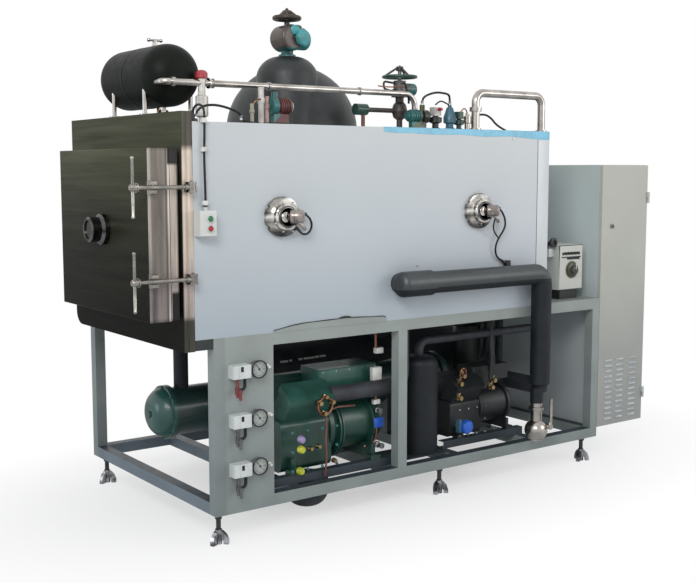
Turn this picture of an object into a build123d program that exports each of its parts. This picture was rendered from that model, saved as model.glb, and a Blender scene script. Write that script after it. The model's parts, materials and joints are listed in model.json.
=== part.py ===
from build123d import *
import os
from math import cos, radians, sin, sqrt, tan

os.makedirs("parts", exist_ok=True)

# A pilot-size vacuum freeze dryer. Lengths in millimetres, +Z up.
# Everything is drawn from the outer front left corner of the base frame, on the floor, with X along
# the front and Y towards the back, and is saved about the front left levelling foot.

# ---- clearances ----
FIT = 0.1            # running clearance of a pin, shaft or hub, on the radius
SEAT = 0.3           # gap between neighbours on different bodies, and under curved seats

# ---- base frame ----
TUBE = 50.0          # square tube
FRAME_LENGTH = 2265.0
FRAME_DEPTH = 1204.0
FRAME_TOP = 842.0
RAIL_Z = 119.0       # underside of the bottom rails
GAUGE_BAY = 228.0    # width of the gauge panel
MIDDLE_POST = 935.0  # left face of the middle post
CROSS_MEMBERS = (385.0, 1290.0, 1800.0)
DECK = 4.0           # sheet deck at the right end
SKID_DEPTH = 40.0
SKID_HEIGHT = 36.0
FOOT_STEM = 10.0     # radius
FOOT_REACH = 42.0
BACK_FOOT = 94.0     # back edge of the frame to the left foot there

# ---- chamber ----
CASING_LEFT = -80.0
CASING_LENGTH = 1950.0
CASING_DEPTH = 1055.0
CASING_TOP = 1685.0
SHEET = 2.0
FLANGE = 47.0        # thickness of the end flange
FLANGE_TOP = 1723.0
FLANGE_BOTTOM = 798.0
FLANGE_CORNER = 60.0
VESSEL_WALL = 10.0
VESSEL_LENGTH = 1820.0
MOUTH_WIDTH = 710.0
MOUTH_HEIGHT = 518.0
MOUTH_Y = 70.0
MOUTH_Z = 995.0
SHELVES = 5
SHELF = 16.0
SHELF_LENGTH = 1640.0
SHELF_POST = 20.0

# ---- door ----
SEAL = 17.0
DOOR = 125.0         # thickness
DOOR_WIDTH = 850.0
DOOR_Z = 925.0
DOOR_HEIGHT = 658.0
DOOR_LIP = 33.0      # thickness of the inner frame of the door
HINGE_GAP = 50.0     # door edge to hinge axis
HINGE_PIN = 9.0
KNUCKLE = 22.0
KNUCKLE_HALF = 30.0
CLAMP_LEVELS = (1085.0, 1436.0)
BOLT_Y = -28.0       # axis of the swing bolts
BOLT = 8.0           # radius
EAR = 9.0            # thickness of the clamp ears
EYE = 16.0
LUG = 26.0           # thickness of the door lugs along the bolt
BOLT_SLACK = 54.0    # free bolt between lug and nut
T_BAR = 108.0        # half length
T_BAR_R = 6.0
DOOR_PORT_Y = 401.0
DOOR_PORT_Z = 1264.0
DOOR_PORT_R = 62.0
DOOR_PORT_OUT = 70.0

# ---- sight ports on the long side ----
PORT_X = (318.0, 1399.0)
PORT_Z = 1313.0
PORT_R = 81.0
PORT_RIM = 20.0
PORT_NOSE_R = 56.0
PORT_OUT = 53.0
PORT_NECK = 50.0
PORT_BORE = 36.0
PORT_SLOTS = 6
CORD_R = 4.5

# ---- push-button box ----
BUTTON_BOX_X = -78.0
BUTTON_BOX = (73.0, 50.0, 99.0)
BUTTON_BOX_Z = 1248.0
BUTTON_LEVELS = {"red_button": 1278.0, "green_button": 1315.0}
BUTTON_R = 9.5
BUTTON_STEM = 6.0
BUTTON_TRAVEL = 4.0

# ---- gauge panel fittings ----
GAUGE_LEVELS = {"top": 704.0, "middle": 504.0, "bottom": 304.0}
GAUGE_X = 193.0
GAUGE_R = 37.5
GAUGE_OUT = 32.0
SWITCH_X = 64.0
SWITCH = (80.0, 48.0, 54.0)
SMALL_VALVE_X = 92.0
SMALL_VALVE_DROP = 52.0
CAPILLARY_R = 6.5

# ---- insulated front pipe and drain valve ----
PIPE_R = 49.0
PIPE_Y = -66.0
PIPE_Z = 1005.0
PIPE_LEFT = 876.0
SLEEVE_R = 56.0
SLEEVE_LENGTH = 182.0
DROP_X = 1766.0
DROP_BOTTOM = 468.0
TAPER = (38.0, 92.0)  # depth of the two steps in which the foam narrows above the valve
PIPE_BEND = 53.0
DRAIN_R = 29.0
DRAIN_BALL_R = 56.0
DRAIN_BALL_Z = 240.0
DRAIN_BORE = 22.0
DRAIN_BORE_DEPTH = 30.0
DRAIN_X = DROP_X - 20.0
DRAIN_TOP = DROP_BOTTOM - TAPER[1]
DRAIN_BOTTOM = DRAIN_BALL_Z - DRAIN_BALL_R + 8.0
LEVER = 140.0
LEVER_X = DRAIN_X + 32.0
LEVER_Y = PIPE_Y - DRAIN_BALL_R - 4.0
LEVER_Z = DRAIN_BALL_Z + 22.0

# ---- condenser ----
CONDENSER_X = 20.0
CONDENSER_LENGTH = 1560.0
CONDENSER_Y = 620.0
CONDENSER_Z = 424.0
CONDENSER_R = 108.0
COVER = 78.0
COVER_R = 112.0
COVER_RIM = 9.0
RISER_X = 177.0
RISER_R = 33.0

# ---- expansion tank ----
TANK_X = 10.0
TANK_Z = CASING_TOP + 200.0
TANK_R = 127.0
TANK_Y = 265.0
TANK_LENGTH = 560.0
TANK_ROUND = 98.0
LEG_R = 9.0
LEG_REACH = 104.0
LEG_Y = (372.0, 664.0)
TANK_CAP_Y = 520.0

# ---- stainless pipes on the roof ----
FEED_Y = 245.0
FEED_Z = CASING_TOP + 167.0
FEED_R = 13.5
FEED_LEFT = -75.0
FEED_RIGHT = 1222.0
ARCH_Y = 45.0
ARCH_R = 19.0
ARCH_LEFT = 1422.0
ARCH_RIGHT = 1856.0
ARCH_TOP = CASING_TOP + 171.0
RELIEF_X = 98.0

# ---- vapour duct and its valve ----
BELL_X = 860.0
BELL_Y = 738.0
BELL_R = 316.0
DOME_X = 747.0
DOME_Y = 603.0
DOME_R = 163.0
DOME_TOP = CASING_TOP + 339.0
DUCT_DRUM_R = 60.0
DUCT_DRUM_Z = CASING_TOP + 421.0
DUCT_WHEEL_R = 68.0
DUCT_WHEEL_Z = CASING_TOP + 515.0
DUCT_STEM_R = 13.0

# ---- globe valve ----
GLOBE_X = 1200.0
GLOBE_Y = 330.0
GLOBE_WHEEL_R = 84.0
GLOBE_WHEEL_Z = CASING_TOP + 251.0
GLOBE_RUN_Z = CASING_TOP + 93.0   # axis of the horizontal pipe that feeds it
GLOBE_RUN = 262.0
GLOBE_STEM_R = 9.0

# ---- small machines along the front of the roof ----
ROOF_Y = 150.0
FIRST_PUMP = (365.0, 92.0, 36.0, 79.0)       # X, length, barrel radius, axis over the roof
SECOND_PUMP = (1108.0, 106.0, 30.0, 60.0)
STUBS = ((278.0, 8.0, 86.0), (322.0, 12.0, 154.0), (350.0, 9.0, 118.0))      # X, radius, height
ROOF_VALVES = ((1268.0, 30.0, 104.0), (1356.0, 30.0, 117.0), (1414.0, 24.0, 88.0))
COLUMNS = (1466.0, 1508.0)
COLUMN = (18.0, 84.0)                        # radius, height

# ---- electrical cabinet ----
CABINET_WIDTH = 360.0
CABINET_DEPTH = 730.0
CABINET_Z = 165.0
CABINET_TOP = 1527.0
CABINET_WALL = 2.0
CABINET_DOOR = 18.0
CABINET_KNUCKLE = 5.0
CABINET_PIN = 2.5
LOUVRE_COLUMNS = (54.0, 141.0, 243.0)
LOUVRE_ROWS = 12
LOUVRE = (52.0, 9.0, 12.0)
LOUVRE_PITCH = 28.0
LOUVRE_Z = 195.0
LOCK_X = 78.0
LOCK_Z = 1213.0
LOCK_R = 11.0

# ---- instrument box ----
INSTRUMENT_X = FRAME_LENGTH - 240.0
INSTRUMENT_Y = 60.0
INSTRUMENT = (172.0, 190.0, 226.0)
INSTRUMENT_BASE = 50.0
DIAL = (0.52, 100.0)     # share of the width, height above the case's underside
KNOB_R = 36.0

# ---- machinery ----
LEFT_MACHINE = (385.0, 235.0, 1.12)      # start along X, middle in Y, scale
RIGHT_MACHINE = (1395.0, 260.0, 0.86)
LEFT_LINE = (98.0, 524.0, 1030.0)        # suction line: Y, Z and the X where it turns up
RIGHT_LINE = (392.0, 2000.0, 430.0, 150.0)   # Z, the X of its cross run, and that run's far and near Y
RIGHT_LINE_R = 44.0
RECEIVER_X = 1196.0
RECEIVER_Y = 170.0
RECEIVER_R = 90.0
RECEIVER_TOP = 630.0
LINE_R = 20.0
LINE_Z = 700.0
LINE_END = 2005.0
TRAP_X = (700.0, 2160.0)
TRAP_Y = 952.0
TRAP_Z = 446.0
TRAP_R = 192.0
TRAP_ROUND = 90.0
TRAP_SEATS = (MIDDLE_POST, CROSS_MEMBERS[2])
TRAP_NECK = (1500.0, 110.0)              # X and radius of the vapour neck to the chamber
SUMP_X = 545.0
SUMP_Y = 158.0
SUMP_R = 95.0
SUMP_Z = 34.0

# ---- worked out from the above ----
FLANGE_FACE = CASING_LEFT - 1.0 - FLANGE
DOOR_INNER = FLANGE_FACE - SEAL
DOOR_OUTER = DOOR_INNER - DOOR
HINGE_X = DOOR_INNER - 25.0
HINGE_Y = DOOR_WIDTH + HINGE_GAP
PIVOT_X = FLANGE_FACE + 28.0
LUG_OUTER = DOOR_OUTER - 2.0
NUT_INNER = LUG_OUTER - BOLT_SLACK
CASING_RIGHT = CASING_LEFT + CASING_LENGTH
VESSEL_BACK = MOUTH_Y + MOUTH_WIDTH + VESSEL_WALL
VESSEL_FRONT = MOUTH_Y - VESSEL_WALL
VESSEL_RIGHT = CASING_LEFT - 1.0 + VESSEL_LENGTH
RAIL_TOP = RAIL_Z + TUBE
MIDDLE_RIGHT = MIDDLE_POST + TUBE
SIDE_POST = FRAME_LENGTH - TUBE
BACK_POST = FRAME_DEPTH - TUBE
ORIGIN = (TUBE / 2, TUBE / 2, 0)


# ---- drawing helpers ----
def block(x, y, z):
    """A box from its limits: three (low, high) pairs."""
    size = (x[1] - x[0], y[1] - y[0], z[1] - z[0])
    return Pos(x[0], y[0], z[0]) * Box(*size, align=(Align.MIN, Align.MIN, Align.MIN))


def rod_x(radius, x, y, z):
    return Pos(x[0], y, z) * Rot(0, 90, 0) * Cylinder(radius, x[1] - x[0], align=STAND)


def rod_y(radius, x, y, z):
    return Pos(x, y[0], z) * Rot(-90, 0, 0) * Cylinder(radius, y[1] - y[0], align=STAND)


def rod_z(radius, x, y, z):
    return Pos(x, y, z[0]) * Cylinder(radius, z[1] - z[0], align=STAND)


def turned(profile):
    """Revolves a (radius, height) outline about Z."""
    outline = Polyline(*[(r, 0, h) for r, h in profile], close=True)
    return revolve(make_face(outline), Axis.Z)


def facing_front(shape, x, z, y=0.0):
    """Turns a shape that stands on Z so that it points out of the front."""
    return Pos(x, y, z) * Rot(90, 0, 0) * shape


def facing_left(shape, x, y, z):
    return Pos(x, y, z) * Rot(0, -90, 0) * shape


def corner_radii(points, share=0.45):
    """For each corner of a route, the largest arc that its two runs allow."""
    places = [Vector(*p) for p in points]
    radii = []
    for before, here, after in zip(places, places[1:], places[2:]):
        one, two = here - before, after - here
        turn = radians(one.get_angle(two))
        radii.append(share * min(one.length, two.length) / tan(turn / 2))
    return radii


def tube_along(points, radius, bends):
    path = FilletPolyline(*points, radius=bends) if len(points) > 2 else Line(*points)
    start = Plane(origin=path @ 0, z_dir=path % 0)
    return sweep(start * Circle(radius), path=path)


def hose(points, radius, name):
    radii = corner_radii(points)
    tube = tube_along(points, radius, radii)
    print(name, "corner radii", [round(r) for r in radii])
    return tube


def save(name, shapes):
    shapes = shapes if isinstance(shapes, (list, tuple)) else [shapes]
    solids = [s for shape in shapes for s in shape.solids()]
    whole = Compound(children=[Pos(*[-c for c in ORIGIN]) * s for s in solids])
    export_step(whole, "parts/" + name + ".step")


STAND = (Align.CENTER, Align.CENTER, Align.MIN)


# ---- base frame ----
def frame():
    """Welded square tube: posts, rails and cross members, the end deck and the machine rails."""
    post_x = (0.0, MIDDLE_POST, SIDE_POST)
    tubes = []
    for y in (0.0, BACK_POST):
        for x in post_x:
            tubes.append(block((x, x + TUBE), (y, y + TUBE), (RAIL_Z, FRAME_TOP)))
        for z in (RAIL_Z, FRAME_TOP - TUBE):
            for left, right in ((TUBE, MIDDLE_POST), (MIDDLE_RIGHT, SIDE_POST)):
                tubes.append(block((left, right), (y, y + TUBE), (z, z + TUBE)))
    for z in (RAIL_Z, FRAME_TOP - TUBE):
        for x in post_x:
            tubes.append(block((x, x + TUBE), (TUBE, BACK_POST), (z, z + TUBE)))
    for x in CROSS_MEMBERS:
        tubes.append(block((x, x + TUBE), (TUBE, BACK_POST), (RAIL_Z, RAIL_TOP)))
    tubes.append(block((CASING_RIGHT + 2, FRAME_LENGTH), (0, FRAME_DEPTH), (FRAME_TOP, FRAME_TOP + DECK)))
    tubes += machine_rails() + saddles()
    return tubes


def machine_rails():
    """Channels along the frame that carry the two compressors, and the receiver's plate."""
    rails = []
    for left, right, rows in (
        (CROSS_MEMBERS[0] - 95, MIDDLE_RIGHT, (LEFT_MACHINE[1] - 170, LEFT_MACHINE[1] + 130)),
        (CROSS_MEMBERS[1] + 30, CROSS_MEMBERS[2] + TUBE, (RIGHT_MACHINE[1] - 132, RIGHT_MACHINE[1] + 94)),
    ):
        for y in rows:
            outer = block((left, right), (y, y + SKID_DEPTH), (RAIL_TOP, RAIL_TOP + SKID_HEIGHT))
            inner = block((left, right), (y + 4, y + SKID_DEPTH), (RAIL_TOP + 4, RAIL_TOP + SKID_HEIGHT - 4))
            rails.append(outer - inner)
    rails.append(block((MIDDLE_RIGHT - 25, CROSS_MEMBERS[1] + 25), (RECEIVER_Y - 95, RECEIVER_Y + 95),
                       (RAIL_TOP, RAIL_TOP + DECK)))
    return rails


def saddles():
    """Curved supports under the condenser and the ice trap, on the cross members."""
    seats = []
    for x in CROSS_MEMBERS[:2]:
        width = CONDENSER_R * 0.8
        plate = block((x + 5, x + TUBE - 5), (CONDENSER_Y - width, CONDENSER_Y + width), (RAIL_TOP, CONDENSER_Z - 55))
        seats.append(plate - rod_x(CONDENSER_R + SEAT, (x, x + TUBE), CONDENSER_Y, CONDENSER_Z))
    for x in TRAP_SEATS:
        width = TRAP_R * 0.625
        plate = block((x + 5, x + TUBE - 5), (TRAP_Y - width, TRAP_Y + width), (RAIL_TOP, TRAP_Z - TRAP_R * 0.65))
        seats.append(plate - rod_x(TRAP_R + SEAT, (x, x + TUBE), TRAP_Y, TRAP_Z))
    return seats


def levelling_foot(x, y):
    """A cast foot with three arched legs, its threaded stem and lock nut."""
    side = Polyline((6, 56), (18, 54), (FOOT_REACH - 8, 38), (FOOT_REACH, 16), (FOOT_REACH, 0),
                    (FOOT_REACH - 20, 0), (FOOT_REACH - 22, 14), (6, 32), close=True)
    leg = extrude(Plane.XZ * make_face(side), 9, both=True)
    foot = Cylinder(14, 62, align=STAND) + [Rot(0, 0, 120 * i + 80) * leg for i in range(3)]
    nut = Pos(0, 0, RAIL_Z - 14) * extrude(RegularPolygon(16, 6), 14)
    stem = rod_z(FOOT_STEM, 0, 0, (60, RAIL_Z))
    return Pos(x, y, 0) * (foot + stem + nut)


def levelling_feet():
    centres = (TUBE / 2, MIDDLE_RIGHT + 218, SIDE_POST - 38)
    feet = [(x, TUBE / 2) for x in centres] + [(x, FRAME_DEPTH - TUBE / 2) for x in centres[1:]]
    return [levelling_foot(x, y) for x, y in feet + [(TUBE / 2, FRAME_DEPTH - BACK_FOOT)]]


# ---- chamber ----
def port_holes(radius, y):
    return [rod_y(radius, x, y, PORT_Z) for x in PORT_X]


def chamber_vessel():
    """The welded box with its thick end flange, open to the left."""
    left = CASING_LEFT - 1.0
    top = MOUTH_Z + MOUTH_HEIGHT
    box = block((left, VESSEL_RIGHT), (VESSEL_FRONT, VESSEL_BACK), (MOUTH_Z - VESSEL_WALL, top + VESSEL_WALL))
    flange = block((FLANGE_FACE, left), (0, CASING_DEPTH), (FLANGE_BOTTOM, FLANGE_TOP))
    corners = flange.edges().filter_by(Axis.X).sort_by(lambda edge: edge.center().Y - edge.center().Z)
    flange = chamfer(fillet(corners[-1], FLANGE_CORNER).edges().filter_by(Axis.X).group_by(Axis.Z)[-1], 3)
    cavity = block((FLANGE_FACE - 1, VESSEL_RIGHT - VESSEL_WALL), (MOUTH_Y, MOUTH_Y + MOUTH_WIDTH), (MOUTH_Z, top))
    cavity = fillet(cavity.edges().filter_by(Axis.X), 30)
    vessel = box + flange - cavity
    for hole in port_holes(PORT_BORE, (VESSEL_FRONT - 1, MOUTH_Y + 1)):
        vessel -= hole
    return vessel


def chamber_insulation():
    """Foam slabs between the vessel and the cladding, one to each side."""
    left, right = CASING_LEFT, CASING_RIGHT - SHEET
    low, high = FRAME_TOP + SHEET, CASING_TOP - SHEET
    y = (SHEET, CASING_DEPTH - SHEET)
    vessel_z = (MOUTH_Z - VESSEL_WALL, MOUTH_Z + MOUTH_HEIGHT + VESSEL_WALL)
    front = block((left, right), (y[0], VESSEL_FRONT), vessel_z)
    for hole in port_holes(PORT_NECK + SEAT, (0, VESSEL_FRONT + 1)):
        front -= hole
    return [
        front,
        block((left, right), (VESSEL_BACK, y[1]), vessel_z),
        block((left, right), y, (low, vessel_z[0])),
        block((left, right), y, (vessel_z[1], high)),
        block((VESSEL_RIGHT, right), (VESSEL_FRONT, VESSEL_BACK), vessel_z),
        block((left, -SHEET), y, (FRAME_TOP - 42, FRAME_TOP)),
    ]


def chamber_cladding():
    """Folded sheets around the foam: front with its rounded corner, back, roof, floor and end."""
    x, y, z = (CASING_LEFT, CASING_RIGHT), (0.0, CASING_DEPTH), (FRAME_TOP, CASING_TOP)
    front = block(x, (0, SHEET), z)
    front = fillet(front.edges().filter_by(Axis.Y).group_by(Axis.X)[-1].sort_by(Axis.Z)[-1], 22)
    for hole in port_holes(PORT_NECK + SEAT, (-1, SHEET + 1)):
        front -= hole
    inner_y = (SHEET, CASING_DEPTH - SHEET)
    return [
        front,
        block(x, (CASING_DEPTH - SHEET, CASING_DEPTH), z),
        block((x[0], x[1] - 24), inner_y, (CASING_TOP - SHEET, CASING_TOP)),
        block(x, inner_y, (FRAME_TOP, FRAME_TOP + SHEET)),
        block((x[1] - SHEET, x[1]), inner_y, (FRAME_TOP + SHEET, CASING_TOP - 24)),
    ]


def shelf_levels():
    gap = (MOUTH_HEIGHT - SHELVES * SHELF) / (SHELVES + 1)
    return [MOUTH_Z + gap + i * (gap + SHELF) for i in range(SHELVES)]


def product_shelves():
    """Heated shelf plates between four corner posts that stand on the vessel floor."""
    left = CASING_LEFT + 40
    y = (MOUTH_Y + SHELF_POST + 32, MOUTH_Y + MOUTH_WIDTH - SHELF_POST - 32)
    plates = [block((left, left + SHELF_LENGTH), y, (z, z + SHELF)) for z in shelf_levels()]
    posts = []
    for x in (left + 60, left + SHELF_LENGTH - 60 - SHELF_POST):
        for post_y in (y[0] - SHELF_POST, y[1]):
            posts.append(block((x, x + SHELF_POST), (post_y, post_y + SHELF_POST),
                               (MOUTH_Z, MOUTH_Z + MOUTH_HEIGHT - 12)))
    return plates + posts


# ---- door ----
def door_gasket():
    """The square seal around the mouth, bonded to the flange."""
    margin = 28.0
    z = (MOUTH_Z, MOUTH_Z + MOUTH_HEIGHT)
    y = (MOUTH_Y, MOUTH_Y + MOUTH_WIDTH)
    x = (DOOR_INNER + SEAT, FLANGE_FACE)
    outer = block(x, (y[0] - margin, y[1] + margin), (z[0] - margin, z[1] + margin))
    outer = fillet(outer.edges().filter_by(Axis.X), 40)
    inner = fillet(block(x, y, z).edges().filter_by(Axis.X), 30)
    return outer - inner


def door():
    """A thick stainless door: outer pan, shadow groove and the lip that meets the seal."""
    y, z = (0.0, DOOR_WIDTH), (DOOR_Z, DOOR_Z + DOOR_HEIGHT)
    lip = DOOR_INNER - DOOR_LIP
    pan = block((DOOR_OUTER, lip - 3), y, z)
    pan = fillet(pan.edges().group_by(Axis.X)[0], 5)
    groove = block((lip - 3, lip), (y[0] + 6, y[1] - 6), (z[0] + 6, z[1] - 6))
    frame_lip = block((lip, DOOR_INNER), (y[0] + 1, y[1] - 1), (z[0] + 1, z[1] - 1))
    frame_lip = fillet(frame_lip.edges().filter_by(Axis.X), 4)
    dish = block((DOOR_INNER - 12, DOOR_INNER + 1), (MOUTH_Y + 30, MOUTH_Y + MOUTH_WIDTH - 30),
                 (MOUTH_Z + 30, MOUTH_Z + MOUTH_HEIGHT - 30))
    dish = fillet(dish.edges().filter_by(Axis.X), 24)
    return pan + groove + frame_lip - dish - rod_x(44, (DOOR_OUTER - 1, DOOR_INNER + 1), DOOR_PORT_Y, DOOR_PORT_Z)


def sight_ring(rim_r, rim, nose_r, out, bore, slots):
    """A sight glass fitting: slotted rim, conical body and a nose with a recess for the glass."""
    body = turned([(bore, 0), (rim_r, 0), (rim_r, rim), (nose_r + 12, rim + 4), (nose_r, rim + 14),
                   (nose_r, out - 4), (nose_r - 4, out), (bore + 8, out), (bore + 8, out - 16), (bore, out - 16)])
    notch = Pos(rim_r, 0, rim / 2) * Box(16, 15, rim + 2)
    for i in range(slots):
        body -= Rot(0, 0, 360 / slots * (i + 0.5)) * notch
    return body


def door_port():
    ring = sight_ring(DOOR_PORT_R, 16, 50, DOOR_PORT_OUT, 30, 6)
    return facing_left(ring, DOOR_OUTER, DOOR_PORT_Y, DOOR_PORT_Z)


def door_port_glass():
    disc = Pos(0, 0, DOOR_PORT_OUT - 16) * Cylinder(38 - FIT, 10, align=STAND)
    return facing_left(disc, DOOR_OUTER, DOOR_PORT_Y, DOOR_PORT_Z)


def clamp_fork(level):
    """Two ears and a pin on the edge of the flange, which carry a swing bolt."""
    width = 2 * EYE + 4
    ears = []
    for side in (-1, 1):
        low = level + side * (EAR / 2 + 11) - EAR / 2
        ear = block((PIVOT_X - width / 2, PIVOT_X + width / 2), (BOLT_Y, 0), (low, low + EAR))
        ears.append(ear + rod_z(width / 2, PIVOT_X, BOLT_Y, (low, low + EAR)))
    reach = 11 + EAR + 6
    return ears[0] + ears[1] + rod_z(6, PIVOT_X, BOLT_Y, (level - reach, level + reach))


def hinge_bracket(level):
    """Two knuckles, their pin and the block that bolts them to the flange."""
    pin = rod_z(HINGE_PIN, HINGE_X, HINGE_Y, (level - 2.4 * KNUCKLE_HALF, level + 2.4 * KNUCKLE_HALF))
    plate = block((FLANGE_FACE - 8, FLANGE_FACE), (HINGE_Y + 5, HINGE_Y + 75),
                  (level - 2 * KNUCKLE_HALF, level + 2 * KNUCKLE_HALF))
    bracket = plate + pin
    for low in (level - 2 * KNUCKLE_HALF, level + KNUCKLE_HALF):
        z = (low, low + KNUCKLE_HALF)
        bracket += rod_z(KNUCKLE, HINGE_X, HINGE_Y, z)
        bracket += block((HINGE_X, FLANGE_FACE), (HINGE_Y - 14, HINGE_Y + 22), z)
    return bracket


def flange_brackets():
    return [clamp_fork(z) for z in CLAMP_LEVELS] + [hinge_bracket(z) for z in CLAMP_LEVELS]


def clamp_lug(level):
    """Two prongs on the door's edge, open to the front, which the bolt drops between."""
    back = block((LUG_OUTER, LUG_OUTER + LUG), (BOLT_Y - 3, 0), (level - 26, level + 26))
    back = fillet(back.edges().filter_by(Axis.X).group_by(Axis.Y)[0], 8)
    slot = block((LUG_OUTER - 1, LUG_OUTER + LUG + 1), (BOLT_Y - 4, -6), (level - 11, level + 11))
    return back - slot


def hinge_arm(level):
    half = KNUCKLE_HALF - SEAT
    leaf = block((HINGE_X - 16, HINGE_X + 16), (DOOR_WIDTH, HINGE_Y), (level - half, level + half))
    arm = leaf + rod_z(KNUCKLE, HINGE_X, HINGE_Y, (level - half, level + half))
    return arm - rod_z(HINGE_PIN + FIT, HINGE_X, HINGE_Y, (level - half - 1, level + half + 1))


def door_brackets():
    return [clamp_lug(z) for z in CLAMP_LEVELS] + [hinge_arm(z) for z in CLAMP_LEVELS]


def swing_bolt(level):
    """An eye bolt that turns on the fork's pin and carries the T nut at its free end."""
    half = 11 - SEAT
    eye = rod_z(EYE, PIVOT_X, BOLT_Y, (level - half, level + half))
    shank = rod_x(BOLT, (NUT_INNER - 7, PIVOT_X), BOLT_Y, level)
    bolt = eye + shank + rod_x(BOLT + 3, (PIVOT_X - 30, PIVOT_X), BOLT_Y, level)
    return bolt - rod_z(6 + FIT, PIVOT_X, BOLT_Y, (level - 12, level + 12))


def t_handle(level):
    """The nut with its long cross bar."""
    hub = turned([(0, 30), (9, 30), (14, 24), (14, 4), (18, 4), (18, 0), (BOLT + FIT, 0), (BOLT + FIT, 7.5), (0, 7.5)])
    bar = Rot(0, 90, 0) * Cylinder(T_BAR_R, 2 * T_BAR)
    ends = [Pos(side * T_BAR, 0, 0) * Sphere(T_BAR_R + 1.5) for side in (-1, 1)]
    handle = hub + Pos(0, 0, 17) * (bar + ends)
    return facing_left(handle, NUT_INNER, BOLT_Y, level)


# ---- sight ports, cables and glands ----
def sight_ports():
    ring = sight_ring(PORT_R, PORT_RIM, PORT_NOSE_R, PORT_OUT, PORT_BORE, PORT_SLOTS)
    neck = Pos(0, 0, -VESSEL_FRONT) * (Cylinder(PORT_NECK, VESSEL_FRONT, align=STAND)
                                       - Cylinder(PORT_BORE, VESSEL_FRONT, align=STAND))
    return [facing_front(ring + neck, x, PORT_Z) for x in PORT_X]


def port_glasses():
    disc = Pos(0, 0, PORT_OUT - 16) * Cylinder(PORT_BORE + 8 - FIT, 10, align=STAND)
    return [facing_front(disc, x, PORT_Z) for x in PORT_X]


def gland(length):
    """A cable gland: hexagon, neck and rounded cap, standing on Z."""
    cap = turned([(0, 0), (8, 0), (8, length - 9), (6, length), (0, length)])
    return cap + extrude(RegularPolygon(11, 6), length * 0.45)


def port_gland(x, angle, radius, tip):
    """A gland that leaves the side of a port at an angle in the XZ plane."""
    level = PORT_OUT - 22
    rise = radians(angle)
    start = Vector(x + radius * cos(rise), -level, PORT_Z + radius * sin(rise))
    place = Plane(origin=start, z_dir=(cos(rise), 0, sin(rise)))
    return place * gland(tip - radius)


LEFT_GLAND = (6.0, 80.0)         # angle about the port and reach of the tip from its axis
RIGHT_GLAND = (6.0, 92.0)
LOWER_GLAND = (-40.0, 74.0)
PANEL_GLAND = (1566.0, -12.0, 1066.0)
ROOF_GLAND = (-33.0, 80.0, CASING_TOP)
HOSE_NIPPLES = ((19.0, ROOF_Y), (226.0, ROOF_Y))


def gland_tip(x, place, beyond=0.0):
    angle, reach = radians(place[0]), place[1] + beyond
    return (x + reach * cos(angle), -(PORT_OUT - 22), PORT_Z + reach * sin(angle))


def cable_glands():
    """Lamp glands on the ports, the gland on the side panel, and the nipples of the roof hoses."""
    ports = sight_ports()
    pieces = []
    for port, x, (angle, tip) in zip(ports * 2, PORT_X * 2, (LEFT_GLAND, RIGHT_GLAND, LOWER_GLAND)):
        pieces.append(port_gland(x, angle, PORT_NOSE_R - 4, tip) - port)
    foot = block((PANEL_GLAND[0] + 8, PANEL_GLAND[0] + 34), (PANEL_GLAND[1] - 9, 0),
                 (PANEL_GLAND[2] - 24, PANEL_GLAND[2] + 8))
    nose = Plane(origin=(PANEL_GLAND[0] + 18, PANEL_GLAND[1], PANEL_GLAND[2] - 10.8), z_dir=(-0.857, 0, 0.515))
    pieces.append(foot + nose * Cylinder(7, 21, align=STAND))
    pieces.append(Pos(*ROOF_GLAND) * gland(22))
    pieces += [Pos(x, y, CASING_TOP) * gland(18) for x, y in HOSE_NIPPLES]
    return pieces


def left_lamp_cable():
    """A loop from the upper to the lower gland of the left port."""
    x, level = PORT_X[0], -(PORT_OUT - 22)
    points = [gland_tip(x, LEFT_GLAND), gland_tip(x, LEFT_GLAND, 15), (x + 118, level - 2, PORT_Z - 6),
              (x + 130, level - 2, PORT_Z - 31), (x + 126, level, PORT_Z - 56), (x + 108, level, PORT_Z - 73),
              (x + 84, level, PORT_Z - 73), gland_tip(x, LOWER_GLAND, 15), gland_tip(x, LOWER_GLAND)]
    return hose(points, CORD_R, "left_lamp_cable")


def right_lamp_cable():
    """From the right port's gland in a long bow down to the gland on the panel."""
    (gx, gy, gz), (lean, rise) = PANEL_GLAND, (-0.857, 0.515)
    tip, lead = [(gx + 18 + reach * lean, gy, gz - 10.8 + reach * rise) for reach in (21.02, 37)]
    points = [gland_tip(PORT_X[1], RIGHT_GLAND), gland_tip(PORT_X[1], RIGHT_GLAND, 17), (1531, -33, 1302), (1548, -32, 1270), (1552, -30, 1240), (1538, -27, 1212),
              (1517, -24, 1185), (1503, -20, 1156), (1501, -17, 1126), (1511, -14, 1101), (1529, -13, 1085), lead, tip]
    return hose(points, CORD_R, "right_lamp_cable")


# ---- push-button box ----
BUTTON_X = BUTTON_BOX_X + 42.0


def button_box():
    width, depth, height = BUTTON_BOX
    x = (BUTTON_BOX_X, BUTTON_BOX_X + width)
    z = (BUTTON_BOX_Z, BUTTON_BOX_Z + height)
    box = fillet(block(x, (-depth, 0), z).edges().group_by(Axis.Y)[0], 4)
    for level in BUTTON_LEVELS.values():
        collar = Cylinder(BUTTON_R + 4.5, 7, align=STAND) - Cylinder(BUTTON_R + 2, 7, align=STAND)
        box += facing_front(collar, BUTTON_X, level, -depth)
        box -= rod_y(BUTTON_STEM + SEAT, BUTTON_X, (-depth - 1, -depth + 22), level)
    top = (BUTTON_X + 3, -12.0)
    return box + rod_z(8, *top, (z[1], z[1] + 12))


def button(level):
    depth = BUTTON_BOX[1]
    face = BUTTON_TRAVEL + 0.6
    cap = turned([(0, face), (BUTTON_R, face), (BUTTON_R, face + 5), (BUTTON_R - 2, face + 7), (0, face + 7)])
    stem = Pos(0, 0, -17) * Cylinder(BUTTON_STEM, 17 + face, align=STAND)
    return facing_front(cap + stem, BUTTON_X, level, -depth)


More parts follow.
